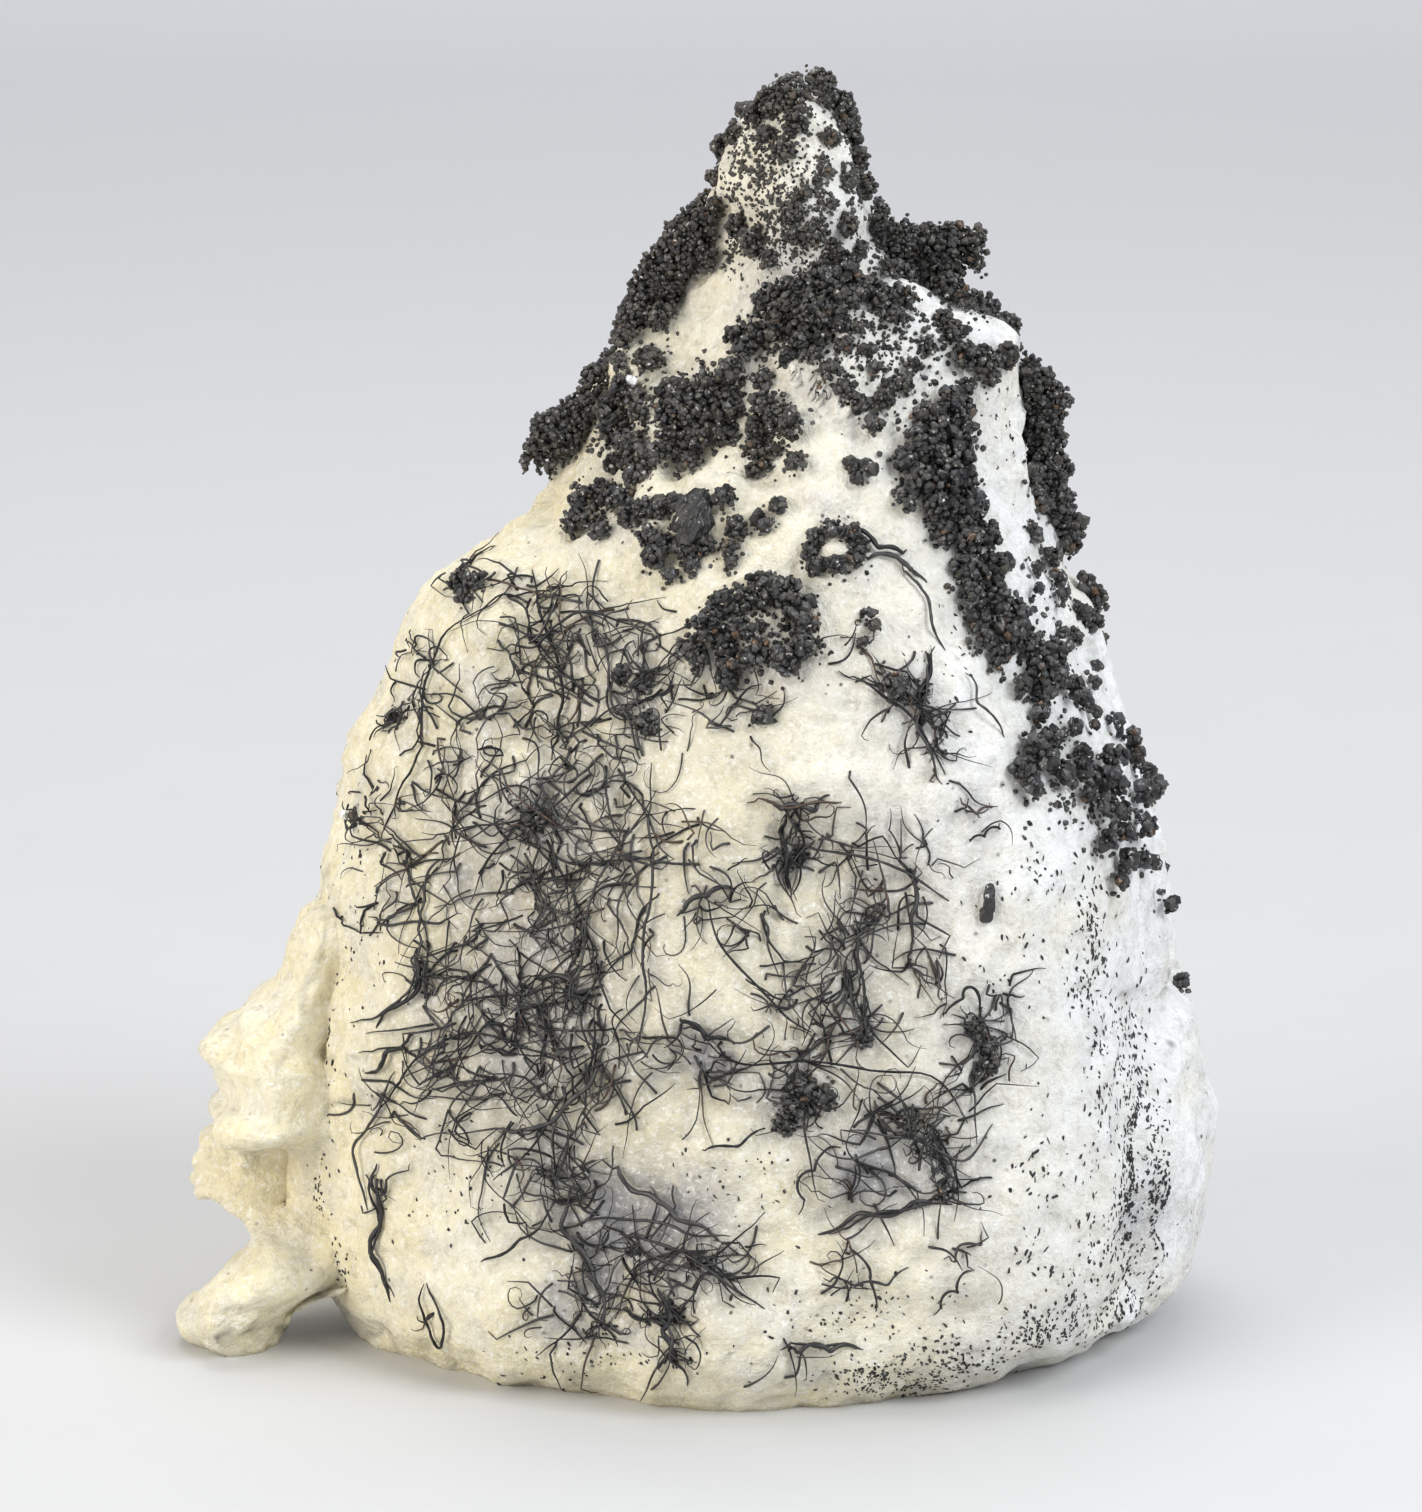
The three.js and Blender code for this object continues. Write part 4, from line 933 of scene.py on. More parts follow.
def crustMaterial():
    material, tree, shader = newMaterial("granular_silver")
    where = addNode(tree, "ShaderNodeTexCoord").outputs["Object"]
    tone, dust = painted(tree, "tone"), painted(tree, "dust")
    slate = mixColours(tree, tone, (0.026, 0.026, 0.027, 1), (0.115, 0.114, 0.116, 1))
    copper = ramp(tree, tone, 0.975, 0.985)
    slate = mixColours(tree, copper, slate, (0.15, 0.10, 0.07, 1))
    patina = noiseNode(tree, where, 0.0006, 4.0, 0.7)
    dustShare = times(tree, dust, ramp(tree, patina, 0.35, 0.6))
    base = mixColours(tree, dustShare, slate, (0.105, 0.090, 0.065, 1))
    # painted glints: small light grey spots over the grains
    paintedGlints = ramp(tree, noiseNode(tree, where, 0.0006, 2.0), 0.66, 0.70)
    base = mixColours(tree, paintedGlints, base, (0.55, 0.54, 0.52, 1))
    # grains with a tone above 1.5 are painted white as glints
    base = mixColours(tree, ramp(tree, tone, 1.4, 1.6), base, (0.92, 0.92, 0.93, 1))
    tree.links.new(base, shader.inputs["Base Color"])
    metal = addNode(tree, "ShaderNodeMapRange", i0=dustShare, i3=0.75, i4=0.1)
    tree.links.new(metal.outputs[0], shader.inputs["Metallic"])
    gloss = addNode(tree, "ShaderNodeMapRange", i0=patina, i1=0.3, i2=0.7, i3=0.24, i4=0.62)
    tree.links.new(gloss.outputs[0], shader.inputs["Roughness"])
    bump = addNode(tree, "ShaderNodeBump", Height=patina, Strength=0.6, Distance=0.0002)
    tree.links.new(bump.outputs[0], shader.inputs["Normal"])
    return material


def crystalPoints(crystals):
    # larger rounded crystals: the finer block, stretched over the rock and dented by noise
    across, down, halfAcross, halfUp, lift = np.array(crystals, float).T
    seats, facings = seatOnFace(across, down)
    side, up = tangents(facings)
    frames = np.stack([side * halfAcross[:, None], up * halfUp[:, None],
                       facings * (0.75 * halfAcross)[:, None]], axis=1)
    corners = crystalShape[0]
    spots = np.einsum("pj,njk->npk", corners, frames)
    spots = spots * (1 + 0.2 * noise(spots * 1.1 + 7) + 0.16 * noise(spots * 2.6 + 5))[..., None]
    dented = np.clip(noise(spots * 1.5 + 3) - 0.25, 0, 1)[..., None]
    spots = spots * (1 - 0.9 * dented) + (seats + facings * lift[:, None])[:, None]
    quads = crystalShape[1][None] + (np.arange(len(crystals)) * len(corners))[:, None, None]
    return spots.reshape(-1, 3), quads.reshape(-1, 4)


def makeCrust(name, look, lumps, seed, *nodeNames):
    # grains at the places that the lumps give, any larger crystals, and a tone and dust for each
    rng = np.random.default_rng(seed)
    places, radii = crustPlaces(rng, look, lumps)
    tones = rng.uniform(0, 1, len(places))
    dust = np.clip(rng.normal(look["dust"] * 0.6, 0.25, len(places)), 0, 1)
    if "paintedGlints" in look:  # a few grains coloured white: painted glints
        across, down, size, lift = np.array(look["paintedGlints"], float).T
        seats, facings = seatOnFace(across, down)
        places = np.concatenate([places, seats + facings * lift[:, None]])
        radii = np.concatenate([radii, size])
        tones = np.concatenate([tones, np.full(len(size), 2.0)])
        dust = np.concatenate([dust, np.zeros(len(size))])
    places[:, 2] = np.maximum(places[:, 2], radii)
    points, faces = scatterGrains(rng, places, radii)
    faceSets = [faces]
    corners = len(points) // len(places)
    tones, dust = np.repeat(tones, corners), np.repeat(dust, corners)
    if "crystals" in look:
        extra, extraQuads = crystalPoints(look["crystals"])
        faceSets.append(extraQuads + len(points))
        points = np.concatenate([points, extra])
        tones = np.concatenate([tones, np.full(len(extra), 0.35)])
        dust = np.concatenate([dust, np.full(len(extra), 0.1)])
    mesh = makeMesh(name + "_grains", points, faceSets, smooth=False)
    paint(mesh, "tone", tones)
    paint(mesh, "dust", dust)
    addPiece(name + "_grains", mesh, crustFinish, "silver_crust", *nodeNames)
    return len(places)


crustFinish = crustMaterial()
grainCount = sum(makeCrust(name, look, bridgedLumps(np.array(look["lumps"], float)),
                           seeds["crusts"] + n, name)
                 for n, (name, look) in enumerate(crusts.items()))

# The crusts run on round the edges of the rock. Each patch is the turn and the height that it
# starts and ends at, how many lumps and their radius
backCrusts = {
    "grain": 0.42, "dust": 0.6, "raise": 0.1, "crownRadius": 2.0,
    "patches": [
        [1.0, 1.12, 78, 95, 20, 1.5], [1.0, 1.14, 97, 108, 13, 1.5], [1.84, 2.0, 97, 111, 16, 1.6],
        [1.84, 2.0, 84, 95, 15, 1.4], [1.02, 1.1, 66, 74, 7, 1.1], [1.02, 1.1, 43, 56, 12, 1.0],
        [1.05, 1.95, 113, 121, 26, 1.3], [1.2, 1.75, 98, 112, 12, 0.8], [1.15, 1.4, 70, 96, 12, 0.7],
    ],
}


def backLumps(rng, look):
    # lumps at random places in each patch, and a row over the rock's flat top from front to back
    rows = np.repeat(np.array(look["patches"], float), [row[4] for row in look["patches"]], axis=0)
    share = rng.random((len(rows), 2))
    turn = rows[:, 0] + (rows[:, 1] - rows[:, 0]) * share[:, 0] ** 1.4
    height = rows[:, 2] + (rows[:, 3] - rows[:, 2]) * share[:, 1]
    seats, facings = onRock(block, turn, height)
    ends, _ = onRock(block, np.array([0.5, 1.5]), np.array([120.5, 120.5]))
    crown = ends[0] + (ends[1] - ends[0]) * np.linspace(0.2, 0.9, 5)[:, None] - [0, 0, 0.6]
    upright = np.broadcast_to([0.0, 0.0, 1.0], crown.shape)
    sizes = rows[:, 5] * rng.uniform(0.7, 1.2, len(rows))
    sizes = np.concatenate([sizes, np.full(len(crown), look["crownRadius"])])
    return [np.concatenate([seats, crown]), np.concatenate([facings, upright]), sizes,
            np.zeros(len(sizes), bool)]


lumpsBehind = backLumps(np.random.default_rng(seeds["backLumps"]), backCrusts)
grainCount += makeCrust("back", backCrusts, lumpsBehind, seeds["backCrusts"])
print("crusts made:", grainCount, "grains")

# Silver wires. A tuft is across, down, how many wires, their length, their middle direction in
# degrees (0 is rightward and 90 down) and its spread, and how far from the middle they start.
# A strand is one longer wire laid through the points that are given.
wires = {
    "left_flank_wires": {
        "tufts": [
            [46.4, 58.6, 16, 6, 110, 360, 1.5], [43, 66, 12, 6, 90, 360, 2.5],
            [42.5, 72, 14, 7, 90, 360, 3], [39, 72, 14, 5, 60, 360, 2], [38.5, 80, 14, 6, 80, 360, 3],
            [35.5, 81.8, 14, 4, 90, 360, 1.5], [41, 86, 14, 7, 90, 360, 3],
            [38.5, 91.5, 12, 6, 90, 360, 3], [42.6, 97.5, 16, 7, 120, 240, 2], [44, 79, 14, 7, 90, 360, 3],
        ],
        "strands": [
            [[49, 60.5], [45.5, 63], [43.5, 68], [42, 75], [39.6, 80], [38, 84]],
            [[45.9, 85.1], [42.8, 88.3], [42.1, 92.4], [42.8, 94.6], [40.8, 99.4]],
            [[35.6, 102.5], [40.1, 100.5], [42.2, 96.3]],
            [[38.6, 82.5], [41.5, 88], [42.5, 94.5]],
            [[37, 92], [41.6, 92.5], [46, 91.5]],
        ],
    },
    "upper_left_wires": {
        "tufts": [
            [53, 60, 14, 7, 60, 360, 2.5], [56, 63.5, 20, 8, 90, 360, 3.5], [60.5, 62, 20, 8, 90, 360, 3],
            [52, 66, 18, 8, 90, 360, 3.5], [64, 64.5, 18, 7, 90, 360, 3], [58, 69, 22, 8, 90, 360, 4],
            [64.5, 71, 20, 6, 90, 360, 3], [50, 72, 20, 8, 90, 360, 3.5], [56.5, 75.5, 24, 8, 90, 360, 4],
            [62, 76, 16, 8, 90, 360, 4], [48.5, 79, 20, 8, 90, 360, 3.5], [67, 67.5, 12, 7, 90, 360, 3],
            [74, 70.5, 18, 7, 90, 200, 3],
        ],
        "strands": [
            [[53, 57], [55, 63], [56.5, 69], [55, 76]],
            [[49, 65], [54.5, 64.5], [60, 61.5], [65, 63.5]],
            [[58, 60], [60.5, 65], [62.5, 71], [64.5, 76]],
        ],
    },
    "left_wires": {
        "tufts": [
            [53.5, 82, 30, 9, 90, 360, 2.5], [59, 82, 26, 9, 115, 150, 4], [64, 84, 18, 9, 115, 150, 4],
            [47.5, 86, 18, 8, 115, 150, 4], [53.5, 88.5, 28, 9, 115, 150, 4], [60, 90, 28, 9, 115, 150, 4],
            [49, 94, 26, 9, 115, 140, 4], [55, 95.5, 32, 9, 115, 140, 4], [61.5, 97, 22, 8, 115, 150, 4],
            [46, 101.5, 24, 8, 120, 150, 4], [51.5, 102.5, 34, 9, 100, 360, 3.5],
            [57.5, 103.5, 30, 9, 115, 150, 4], [43, 106.5, 18, 8, 120, 160, 3.5],
            [49, 109, 26, 9, 120, 160, 3.5], [55, 111, 26, 9, 120, 150, 4],
            [60.5, 108, 18, 8, 90, 360, 3.5],
            [38, 111, 16, 7, 90, 300, 2.5], [65, 105, 10, 7, 90, 360, 3], [38, 118, 8, 6, 90, 200, 1.5],
            [50, 117, 12, 8, 120, 240, 3], [56.5, 116.5, 20, 8, 90, 360, 3],
        ],
        "strands": [
            [[65.1, 76.5], [65.4, 88.3], [64.4, 100], [64, 105]],
            [[39.7, 107.2], [36.7, 112.9], [35.8, 117], [37.3, 120.8]],
            [[38.2, 116.3], [37.5, 120.4], [38, 125.6], [39.4, 129.7]],
            [[65.5, 79], [62.5, 84], [60, 90], [58, 97], [56, 104]],
            [[52, 84], [57, 86], [61, 86.5], [66, 85]],
            [[45, 99.5], [49, 100], [55, 99], [61, 101]],
            [[37, 112], [42, 106], [47, 103.5], [52, 104.5], [58, 106]],
            [[60, 100], [58.5, 107], [55, 112], [50, 118]],
        ],
        "thickStrands": [
            [[38.2, 116.2], [37.7, 120.4], [38, 125.6], [39, 129.9]],
            [[42.4, 94], [42, 97.4], [40, 101], [37.6, 102.8]],
            [[53, 97.6], [57, 98], [58.4, 99.4], [60.2, 98.4]],
            [[50, 113.4], [54, 112.6], [58.4, 109], [60.6, 105]],
            [[41.4, 103.4], [38.6, 106], [36.8, 107.2]],
        ],
    },
    "centre_wires": {
        "tufts": [
            [79.5, 80.5, 16, 6, 90, 360, 1], [79, 86, 26, 6, 90, 360, 1.5], [85.5, 84.5, 14, 7, 90, 360, 3],
            [91, 86, 18, 7, 90, 360, 3.5], [86, 92, 26, 8, 90, 360, 3], [83.5, 97, 26, 8, 90, 360, 3],
            [86.2, 102, 26, 7, 100, 360, 2], [91, 96.5, 18, 7, 80, 360, 3], [74.5, 92, 18, 8, 90, 360, 3],
            [79.5, 100, 20, 8, 60, 360, 3], [71.5, 85.5, 12, 7, 90, 360, 3], [93, 97.5, 5, 4, 90, 360, 1.5],
            [69.5, 91, 10, 6, 60, 200, 2], [96, 82, 6, 5, 0, 120, 2], [99.5, 100.5, 10, 5, 90, 360, 2],
        ],
        "strands": [
            [[75, 80], [79, 80.2], [84, 79.8]],
            [[78.4, 80.5], [78.2, 84], [78.9, 89.7]],
            [[79.6, 80], [80.1, 85], [79.4, 89.2]],
            [[79, 84.5], [84, 85], [90, 87], [95, 90]],
            [[70.1, 89.7], [73.6, 96.6], [77.4, 100.4], [81.6, 103.5]],
            [[85.4, 91.6], [86, 98], [86.6, 103.8]],
            [[94.2, 101.9], [96.5, 98.5], [98.4, 101.2]],
            [[96.9, 84.3], [98.7, 83.2], [100.4, 82.4]],
            [[95.8, 79.7], [97.3, 81.1], [99.6, 80.5]],
        ],
        "thickStrands": [
            [[76.2, 80.2], [80, 80.4], [83, 79.8]],
            [[78.6, 81], [78.3, 85], [79, 89]],
            [[91.6, 86.4], [91.4, 90], [91, 94]],
            [[67.6, 91.4], [70.4, 89.4], [73.4, 88.6]],
        ],
    },
    "tuft_wires": {
        "tufts": [
            [89.2, 69, 20, 6, 60, 300, 1.2], [92, 71, 22, 7, 80, 360, 1.5], [94, 75, 12, 6, 70, 200, 1],
            [85.5, 64, 8, 4, 90, 360, 1.5],
        ],
        "strands": [
            [[93.5, 64.8], [91.9, 70.5], [92.3, 74.4], [94.6, 78.6]],
            [[91.9, 71.7], [95, 73.6]],
            [[84, 67], [89, 70], [92.5, 73.5], [94.5, 77.5]],
            [[86, 67.5], [90.8, 69.6], [95, 72]],
            [[90.4, 56.4], [92.4, 60.4], [94.6, 65]],
            [[96.6, 67.2], [97.6, 70.6], [100.4, 73.6]],
            [[91.2, 49.2], [93, 49.6]],
        ],
        "thickStrands": [
            [[85.4, 52.7], [87.6, 54.7], [89.2, 55.3], [90.8, 54.9]],
            [[86.4, 55.9], [89.4, 56], [91.4, 57], [92.6, 58.4]],
            [[93, 64.9], [91.9, 70.2], [92, 73.4]],
        ],
    },
    "lower_wires": {
        "tufts": [
            [57.5, 119, 20, 8, 90, 360, 2.5], [59, 124.5, 16, 8, 60, 300, 2.5],
            [64.5, 126, 26, 8, 0, 360, 3], [70.5, 126, 30, 7, 0, 360, 2], [59.5, 131.5, 26, 7, 0, 360, 2],
            [66.5, 131.5, 26, 6, 90, 360, 1.5], [74, 127, 8, 6, 0, 200, 2],
            [67.2, 135.5, 14, 5, 90, 360, 1],
            [54.5, 131, 12, 6, 180, 200, 2], [79, 134, 6, 6, 0, 120, 1.5], [43.5, 131.5, 2, 3, 90, 90, 0.5],
        ],
        "strands": [
            [[56.9, 124.3], [60.3, 129.5], [61.4, 134.7]],
            [[56.5, 123], [61, 121.5], [66.5, 122.5], [73, 124]],
            [[61.6, 131.7], [64.5, 126.5], [69.5, 125], [74, 129.5]],
            [[62, 123.4], [67, 124.4], [71, 127], [76.4, 131]],
            [[66.2, 130.4], [67.2, 133.5], [68.6, 138.6]],
            [[42.9, 128.4], [42.4, 131], [44, 135], [44.6, 131.8], [42.9, 128.4]],
            [[78.1, 134.7], [81.6, 134.3], [86.4, 134.9]],
            [[54.6, 121.7], [52.3, 124], [48, 126.4]],
        ],
        "thickStrands": [
            [[56.8, 119], [56.4, 122.4], [58.8, 126.4], [60.4, 130]],
            [[60.6, 115.6], [64, 119], [68, 121.4], [71.4, 124]],
            [[66.4, 129], [67, 133], [67.8, 137]],
        ],
    },
    "right_wires": {
        "tufts": [
            [72.5, 107.5, 20, 7, 20, 360, 2.5], [79.5, 110.5, 20, 7, 90, 360, 2.5],
            [80.5, 107, 18, 6, 0, 360, 2], [88, 112, 26, 8, 30, 360, 2.5],
            [92.5, 113.5, 26, 8, 20, 360, 2.5],
            [94.8, 118.5, 20, 6, 180, 300, 1.5], [87, 118.5, 20, 8, 200, 360, 3],
            [98, 104.5, 22, 7, 110, 360, 1.5], [85, 126.5, 12, 6, 20, 360, 2],
            [96.5, 125.5, 6, 5, 340, 100, 1.5],
            [96, 109, 12, 7, 60, 360, 2.5], [68.5, 103.5, 12, 6, 40, 360, 2],
        ],
        "strands": [
            [[68, 102.5], [73, 105.5], [80, 106.5], [86.5, 106.5], [93, 108], [96.5, 112]],
            [[70.3, 115], [73.5, 114.4], [76.4, 113]],
            [[80.1, 121.2], [80.3, 117.8], [83.8, 114.3]],
            [[82.9, 123.4], [89, 121], [95, 120.4]],
            [[85, 113], [91, 113.5], [96, 116], [99.5, 112.5]],
            [[82.5, 127.8], [87.7, 128.2], [90.7, 126.9]],
            [[94.2, 126], [98.5, 123.2]],
            [[93.3, 131], [96.8, 126.5]],
            [[84.6, 124.6], [87, 127], [87.4, 131]],
        ],
        "thickStrands": [
            [[68, 101.4], [70.6, 103], [73.2, 104.2]],
            [[94.6, 119.6], [90, 120.9], [85, 122], [82.2, 123.6]],
            [[98, 103], [99.2, 105.6], [98.4, 108.2]],
            [[78.6, 135], [82, 134.4], [86.2, 134.8]],
        ],
    },
}
wireLook = {"sides": 5, "steps": 13, "strandSteps": 30, "thickness": 0.11, "lift": 0.8, "pastEdge": 0.15,
            "stout": 1.7, "crowd": 0.9, "kinks": 0.13, "drawnOut": 1.5, "margin": 0.016,
            "lowest": 0.3}


def tubes(paths, radii, sides):
    # a ring of the given sides at each step of each path, square to its run, joined into closed
    # tubes with pointed ends
    run = np.gradient(paths, axis=1)
    run /= np.maximum(np.linalg.norm(run, axis=2, keepdims=True), 1e-9)
    aside = np.cross(run, np.array([0.3, -1.0, 0.25]))
    aside /= np.maximum(np.linalg.norm(aside, axis=2, keepdims=True), 1e-9)
    other = np.cross(run, aside)
    angle = np.arange(sides) * 2 * np.pi / sides
    ring = (aside[:, :, None] * np.cos(angle)[:, None] + other[:, :, None] * np.sin(angle)[:, None])
    body = paths[:, :, None] + ring * radii[:, :, None, None]
    count, steps = paths.shape[:2]
    tips = np.stack([paths[:, 0] - run[:, 0] * radii[:, :1], paths[:, -1] + run[:, -1] * radii[:, -1:]], 1)
    points = np.concatenate([body.reshape(count, -1, 3), tips], axis=1)
    size = steps * sides + 2
    n = np.arange(steps - 1)[:, None] * sides + np.arange(sides)
    m = np.arange(steps - 1)[:, None] * sides + (np.arange(sides) + 1) % sides
    quads = np.stack([n, m, m + sides, n + sides], axis=-1).reshape(-1, 4)
    ringStart = np.arange(sides)
    ringNext = (ringStart + 1) % sides
    last = (steps - 1) * sides
    caps = np.concatenate([
        np.stack([ringNext, ringStart, np.full(sides, size - 2)], axis=-1),
        np.stack([last + ringStart, last + ringNext, np.full(sides, size - 1)], axis=-1)])
    offset = (np.arange(count) * size)[:, None, None]
    allQuads = (quads[None] + offset).reshape(-1, 4)
    allCaps = (caps[None] + offset).reshape(-1, 3)
    return points.reshape(-1, 3), [allQuads, allCaps]


def tuftPaths(rng, tufts, steps):
    # each wire's heading wanders along its length, with a kink in some and a curl in others. Two
    # in three cross the tuft's middle by some point of their length, and the others start there
    counts = [round(tuft[2] * wireLook["crowd"]) for tuft in tufts]
    spots = np.repeat(np.array(tufts, float), counts, axis=0)
    count = len(spots)
    t = np.linspace(0, 1, steps)
    length = spots[:, 3] * rng.uniform(0.3, 1.2, count)
    start = rng.normal(0, 0.62, (count, 2)) * spots[:, 6:7]
    heading = np.radians(spots[:, 4] + rng.uniform(-0.5, 0.5, count) * spots[:, 5])
    swing = np.sin(t * rng.uniform(3, 10, count)[:, None] + rng.uniform(0, 6, count)[:, None])
    bend = rng.normal(0, 0.9, count)[:, None] + rng.normal(0, 1.7, count)[:, None] * swing
    kinked = rng.random((count, steps)) < wireLook["kinks"]
    bend = bend + kinked * rng.normal(0, 1.0, (count, steps)) * steps
    curl = np.where(rng.random(count) < 0.17, rng.choice([-1, 1], count) * rng.uniform(3, 8, count), 0)
    angle = heading[:, None] + np.cumsum(bend + curl[:, None] * t**2 * 2, axis=1) / steps
    stride = (length / (steps - 1))[:, None]
    run = np.stack([np.cumsum(np.cos(angle) * stride, axis=1), np.cumsum(np.sin(angle) * stride, axis=1)])
    crossing = np.where(rng.random(count) < 0.67, rng.integers(0, steps, count), 0)
    run = run - run[:, np.arange(count), crossing][:, :, None]
    across = spots[:, :1] + start[:, :1] + run[0]
    down = spots[:, 1:2] + start[:, 1:] + run[1]
    arch = rng.uniform(0.05, 0.9, (count, 1)) * np.sin(np.pi * t)
    rising = np.maximum(rng.normal(0, 0.7, (count, 1)), 0) * t**1.5
    low = rng.uniform(0.05, 0.7, (count, 1)) * rng.random((count, 1))
    thick = wireLook["thickness"] * rng.uniform(0.6, 1.4, (count, 1)) * (1.05 - 0.75 * t**1.6)
    across = squeezed(across, down)
    return across, down, low + arch + rising, thick


def squeezed(across, down):
    # a wire near the outline would be drawn out along the eye's line, so it is squeezed across,
    # towards its middle, by how much longer it is on the rock than in the window
    seats, _ = seatOnFace(across, down, block, wireLook["pastEdge"], wireLook["margin"])
    onTheRock = np.linalg.norm(np.diff(seats, axis=1), axis=2).sum(axis=1)
    inWindow = np.hypot(np.diff(across, axis=1), np.diff(down, axis=1)).sum(axis=1)
    share = np.clip(wireLook["drawnOut"] * inWindow / onTheRock, 0.1, 1)[:, None]
    middle = across[:, across.shape[1] // 2][:, None]
    return middle + (across - middle) * share**1.5


def strandPaths(rng, look, steps):
    # a smooth curve through the points of a strand, with a slight waver, spaced evenly
    across, down, lift, thick = [], [], [], []
    t = np.linspace(0, 1, steps)
    for strand, stout in [(path, 1.0) for path in look["strands"]] + [
            (path, wireLook["stout"]) for path in look.get("thickStrands", [])]:
        path = np.array(strand, float)
        along = np.concatenate([[0], np.cumsum(np.hypot(*np.diff(path, axis=0).T))])
        along /= along[-1]
        wave = rng.uniform(0.15, 0.4) * np.sin(t * rng.uniform(9, 16) + rng.uniform(0, 6))
        across.append(follow(along, path[:, 0], t) + wave)
        down.append(follow(along, path[:, 1], t) + np.roll(wave, 3))
        lift.append(0.3 + rng.uniform(0.3, 1.2) * np.sin(np.pi * t) ** 2 + 0.25 * np.sin(t * 11))
        girth = wireLook["thickness"] * stout * rng.uniform(1.1, 1.5)
        knobbly = 1 + 0.12 * np.sin(t * 37 + len(thick))
        thick.append(girth * (1.05 - 0.7 * np.abs(2 * t - 1) ** 3) * knobbly)
    return (np.array(rows) for rows in (across, down, lift, thick))


def wireMaterial():
    material, tree, shader = newMaterial("wire_silver")
    where = addNode(tree, "ShaderNodeTexCoord").outputs["Object"]
    tone = painted(tree, "tone")
    patina = noiseNode(tree, where, 0.0012, 4.0, 0.65)
    dark = mixColours(tree, tone, (0.022, 0.022, 0.024, 1), (0.085, 0.082, 0.082, 1))
    brown = ramp(tree, tone, 0.93, 0.97)
    dark = mixColours(tree, brown, dark, (0.10, 0.070, 0.055, 1))
    base = mixColours(tree, ramp(tree, patina, 0.60, 0.72), dark, (0.13, 0.12, 0.115, 1))
    tree.links.new(base, shader.inputs["Base Color"])
    shader.inputs["Metallic"].default_value = 0.7
    gloss = addNode(tree, "ShaderNodeMapRange", i0=patina, i1=0.3, i2=0.7, i3=0.3, i4=0.6)
    tree.links.new(gloss.outputs[0], shader.inputs["Roughness"])
    bump = addNode(tree, "ShaderNodeBump", Height=patina, Strength=0.4, Distance=0.0001)
    tree.links.new(bump.outputs[0], shader.inputs["Normal"])
    return material


def makeWires(name, look, material, seed):
    # the paths of tufts and strands, lifted from the rock the way it faces, each made a thin tube
    rng = np.random.default_rng(seed)
    pointSets, quadSets, capSets, tones = [], [], [], []
    used = 0
    for across, down, lift, thick in (tuftPaths(rng, look["tufts"], wireLook["steps"]),
                                      strandPaths(rng, look, wireLook["strandSteps"])):
        seats, facings = seatOnFace(across, down, block, wireLook["pastEdge"], wireLook["margin"])
        paths = seats + facings * (lift * wireLook["lift"])[..., None]
        paths[..., 2] = np.maximum(paths[..., 2], wireLook["lowest"])
        points, (quads, caps) = tubes(paths, thick, wireLook["sides"])
        pointSets.append(points)
        quadSets.append(quads + used)
        capSets.append(caps + used)
        used += len(points)
        tones.append(np.repeat(rng.random(len(paths)), len(points) // len(paths)))
    mesh = makeMesh(name + "_hairs", np.concatenate(pointSets),
                    [np.concatenate(quadSets), np.concatenate(capSets)])
    paint(mesh, "tone", np.concatenate(tones))
    addPiece(name + "_hairs", mesh, material, "silver_wire", name)
    return sum(tuft[2] for tuft in look["tufts"]) + len(look["strands"])


# The rock is painted here because its painted shade under the wires follows the wires
paintRock(rockMesh)
rockMesh.polygons.foreach_set("use_smooth", np.ones(len(rockMesh.polygons), bool))
addPiece("rock_body", rockMesh, rockMaterial(), "rock", "rock")
print("rock finished")

wireFinish = wireMaterial()
wireCount = sum(makeWires(name, look, wireFinish, seeds["wires"] + n)
                for n, (name, look) in enumerate(wires.items()))
print("wires made:", wireCount)

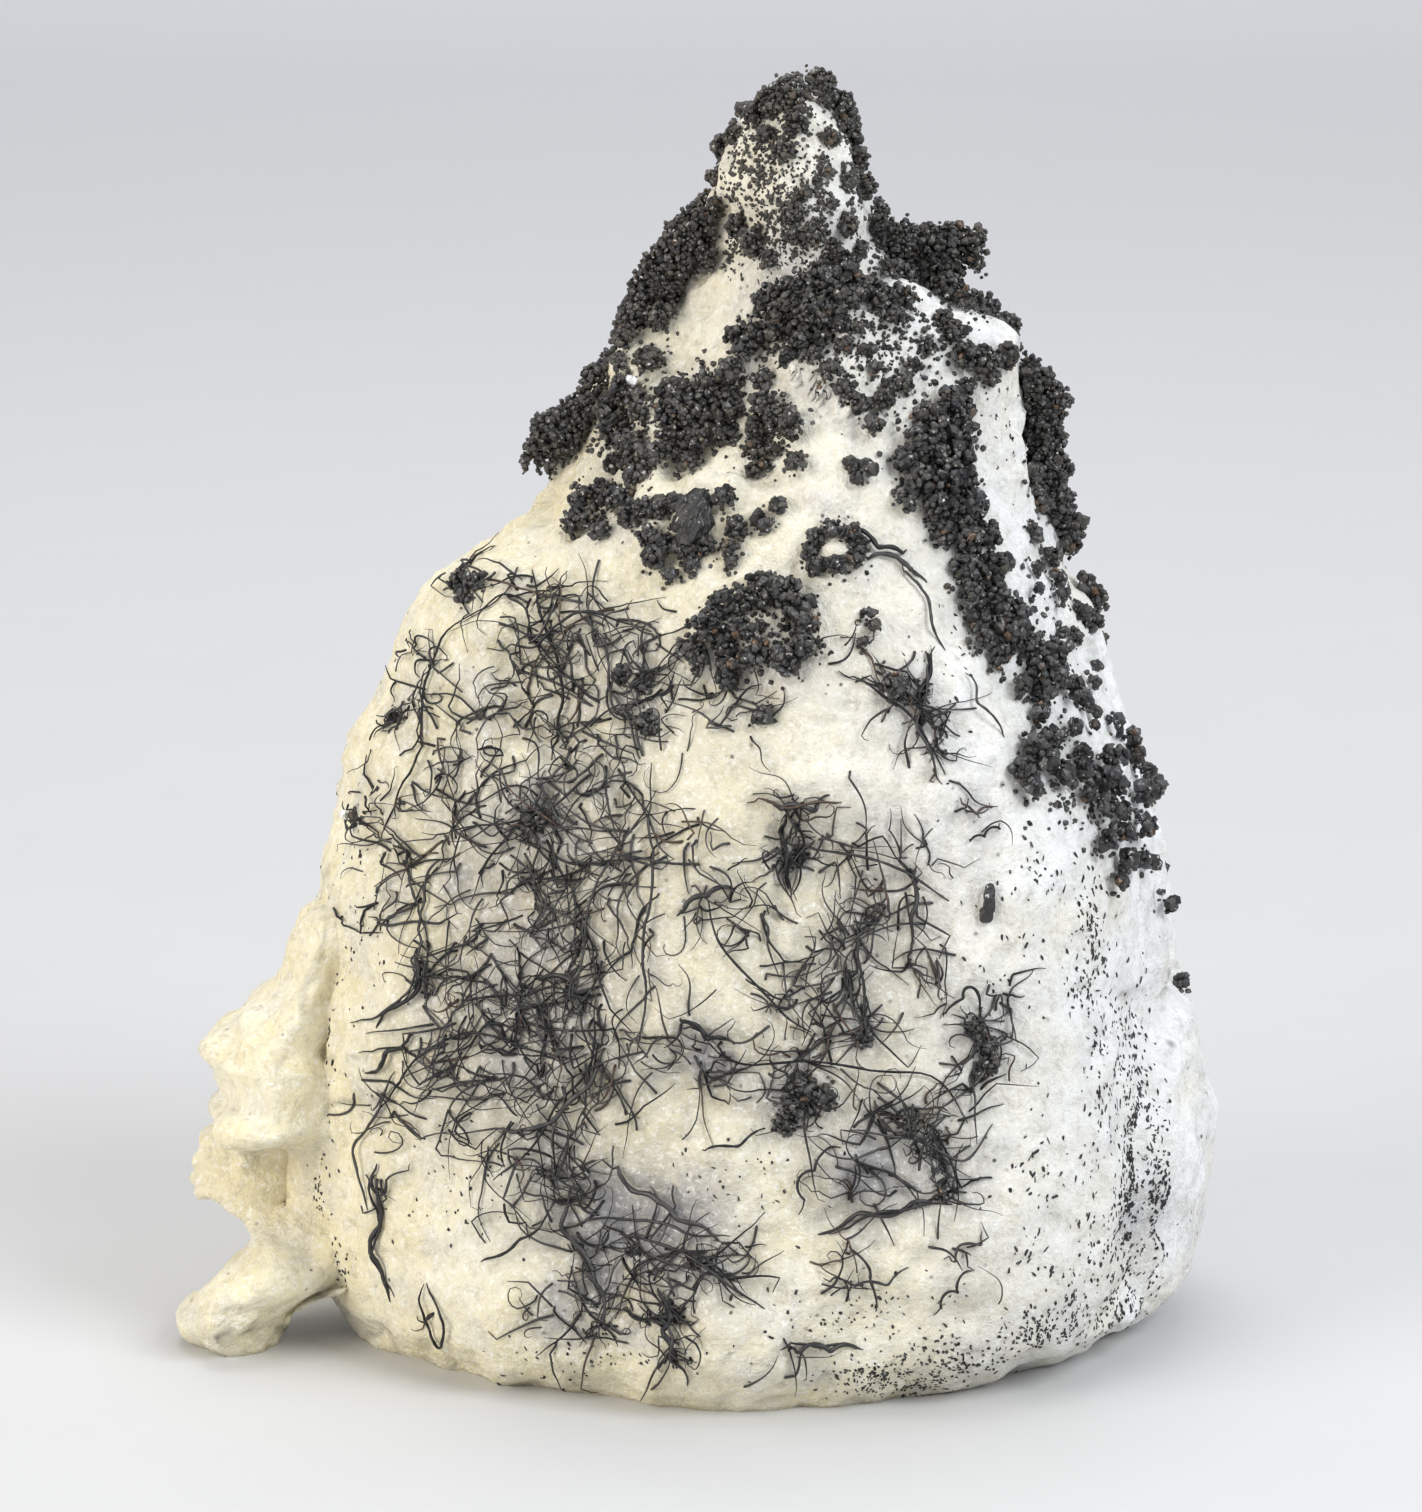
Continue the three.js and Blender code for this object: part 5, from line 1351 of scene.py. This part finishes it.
# Dark ticks: silver flakes that lie mostly sunk in the rock. Each field is across, down, its half
# width and half height, how many, their direction in degrees and their length
ticks = {
    "fields": [
        [109.2, 96, 1.6, 8, 170, 80, 0.7], [113.4, 104, 2, 6, 90, 80, 0.7],
        [110.6, 110, 2.2, 8, 120, 90, 0.7],
        [113.6, 116, 1.3, 9, 420, 100, 0.6], [112, 124, 2.6, 6, 200, 100, 0.6],
        [115, 121, 1.2, 6, 120, 95, 0.5],
        [104.5, 121, 4, 9, 70, 110, 0.8], [110.5, 131, 4.5, 3, 260, 110, 0.5],
        [104, 133.4, 3, 2, 130, 60, 0.5],
        [89, 138, 5, 1.4, 260, 60, 0.45], [96, 136, 5, 1.6, 160, 60, 0.5], [101, 96, 6, 9, 50, 80, 0.6],
        [104, 86.5, 3, 2.5, 26, 70, 0.7], [73, 118, 8, 5, 40, 60, 0.5], [88, 131, 9, 3, 80, 60, 0.5],
        [60, 136, 9, 2, 60, 60, 0.5], [46, 118, 7, 6, 50, 60, 0.5], [32.3, 104, 0.9, 14, 150, 90, 0.5],
        [31.6, 120, 1, 2.4, 110, 80, 0.5], [33.6, 126.5, 1.2, 1.6, 90, 60, 0.6],
        [106, 58, 2, 6, 60, 60, 0.5],
        [107, 66, 1.6, 5, 50, 60, 0.5], [78, 17, 5, 5, 260, 80, 0.5], [78.5, 25, 4.5, 3, 200, 60, 0.5],
        [86, 35, 5, 5, 130, 60, 0.5], [94, 68, 4, 6, 30, 60, 0.6], [36, 92, 2, 9, 50, 80, 0.5],
        [24, 126, 3.4, 2, 24, 20, 0.5], [101, 43, 2, 5, 30, 60, 0.5], [62, 41, 5, 5, 90, 60, 0.5],
    ],
    "behind": {"count": 420, "length": 0.7, "low": 3, "high": 112},
    "width": 0.13, "unevenness": 0.4, "lowest": 0.02,
}


def makeTicks(look, seed):
    # flat slivers: a grain stretched along a direction in the surface and thinned across it
    rng = np.random.default_rng(seed)
    fields = np.repeat(np.array(look["fields"], float), [field[4] for field in look["fields"]], axis=0)
    spread = rng.normal(0, 0.6, (len(fields), 2)) * fields[:, 2:4]
    seats, facings = seatOnFace(fields[:, 0] + spread[:, 0], fields[:, 1] + spread[:, 1], block, 0.0)
    heading, length = fields[:, 5], fields[:, 6]
    behind = look["behind"]
    turn = 1 + rng.uniform(0.02, 0.98, behind["count"])
    height = rng.uniform(behind["low"], behind["high"], behind["count"])
    backSeats, backFacings = onRock(block, turn, height)
    seats, facings = np.concatenate([seats, backSeats]), np.concatenate([facings, backFacings])
    heading = np.concatenate([heading, rng.uniform(0, 180, behind["count"])])
    length = np.concatenate([length, np.full(behind["count"], behind["length"])])
    count = len(seats)
    side, up = tangents(facings)
    angle = np.radians(heading + rng.normal(0, 28, count))[:, None]
    along = side * np.cos(angle) - up * np.sin(angle)
    cross = np.cross(facings, along)
    length = (length * rng.uniform(0.3, 1.3, count) / 2)[:, None]
    width = look["width"] * rng.uniform(0.5, 1.4, (count, 1))
    frames = np.stack([along * length, cross * width, facings * width * 0.8], axis=1)
    corners, faces = grainForm()
    uneven = 1 + look["unevenness"] * rng.uniform(-1, 1, (count, len(corners), 1))
    points = np.einsum("npj,njk->npk", corners[None] * uneven, frames) + seats[:, None]
    points[..., 2] = np.maximum(points[..., 2], look["lowest"])
    faces = (faces[None] + (np.arange(count) * len(corners))[:, None, None]).reshape(-1, 3)
    mesh = makeMesh("dark_ticks", points.reshape(-1, 3), [faces], smooth=False)
    paint(mesh, "tone", np.repeat(rng.uniform(0, 0.9, count), len(corners)))
    addPiece("dark_ticks", mesh, wireFinish, "silver_wire")
    return count


print("ticks made:", makeTicks(ticks, seeds["ticks"]))
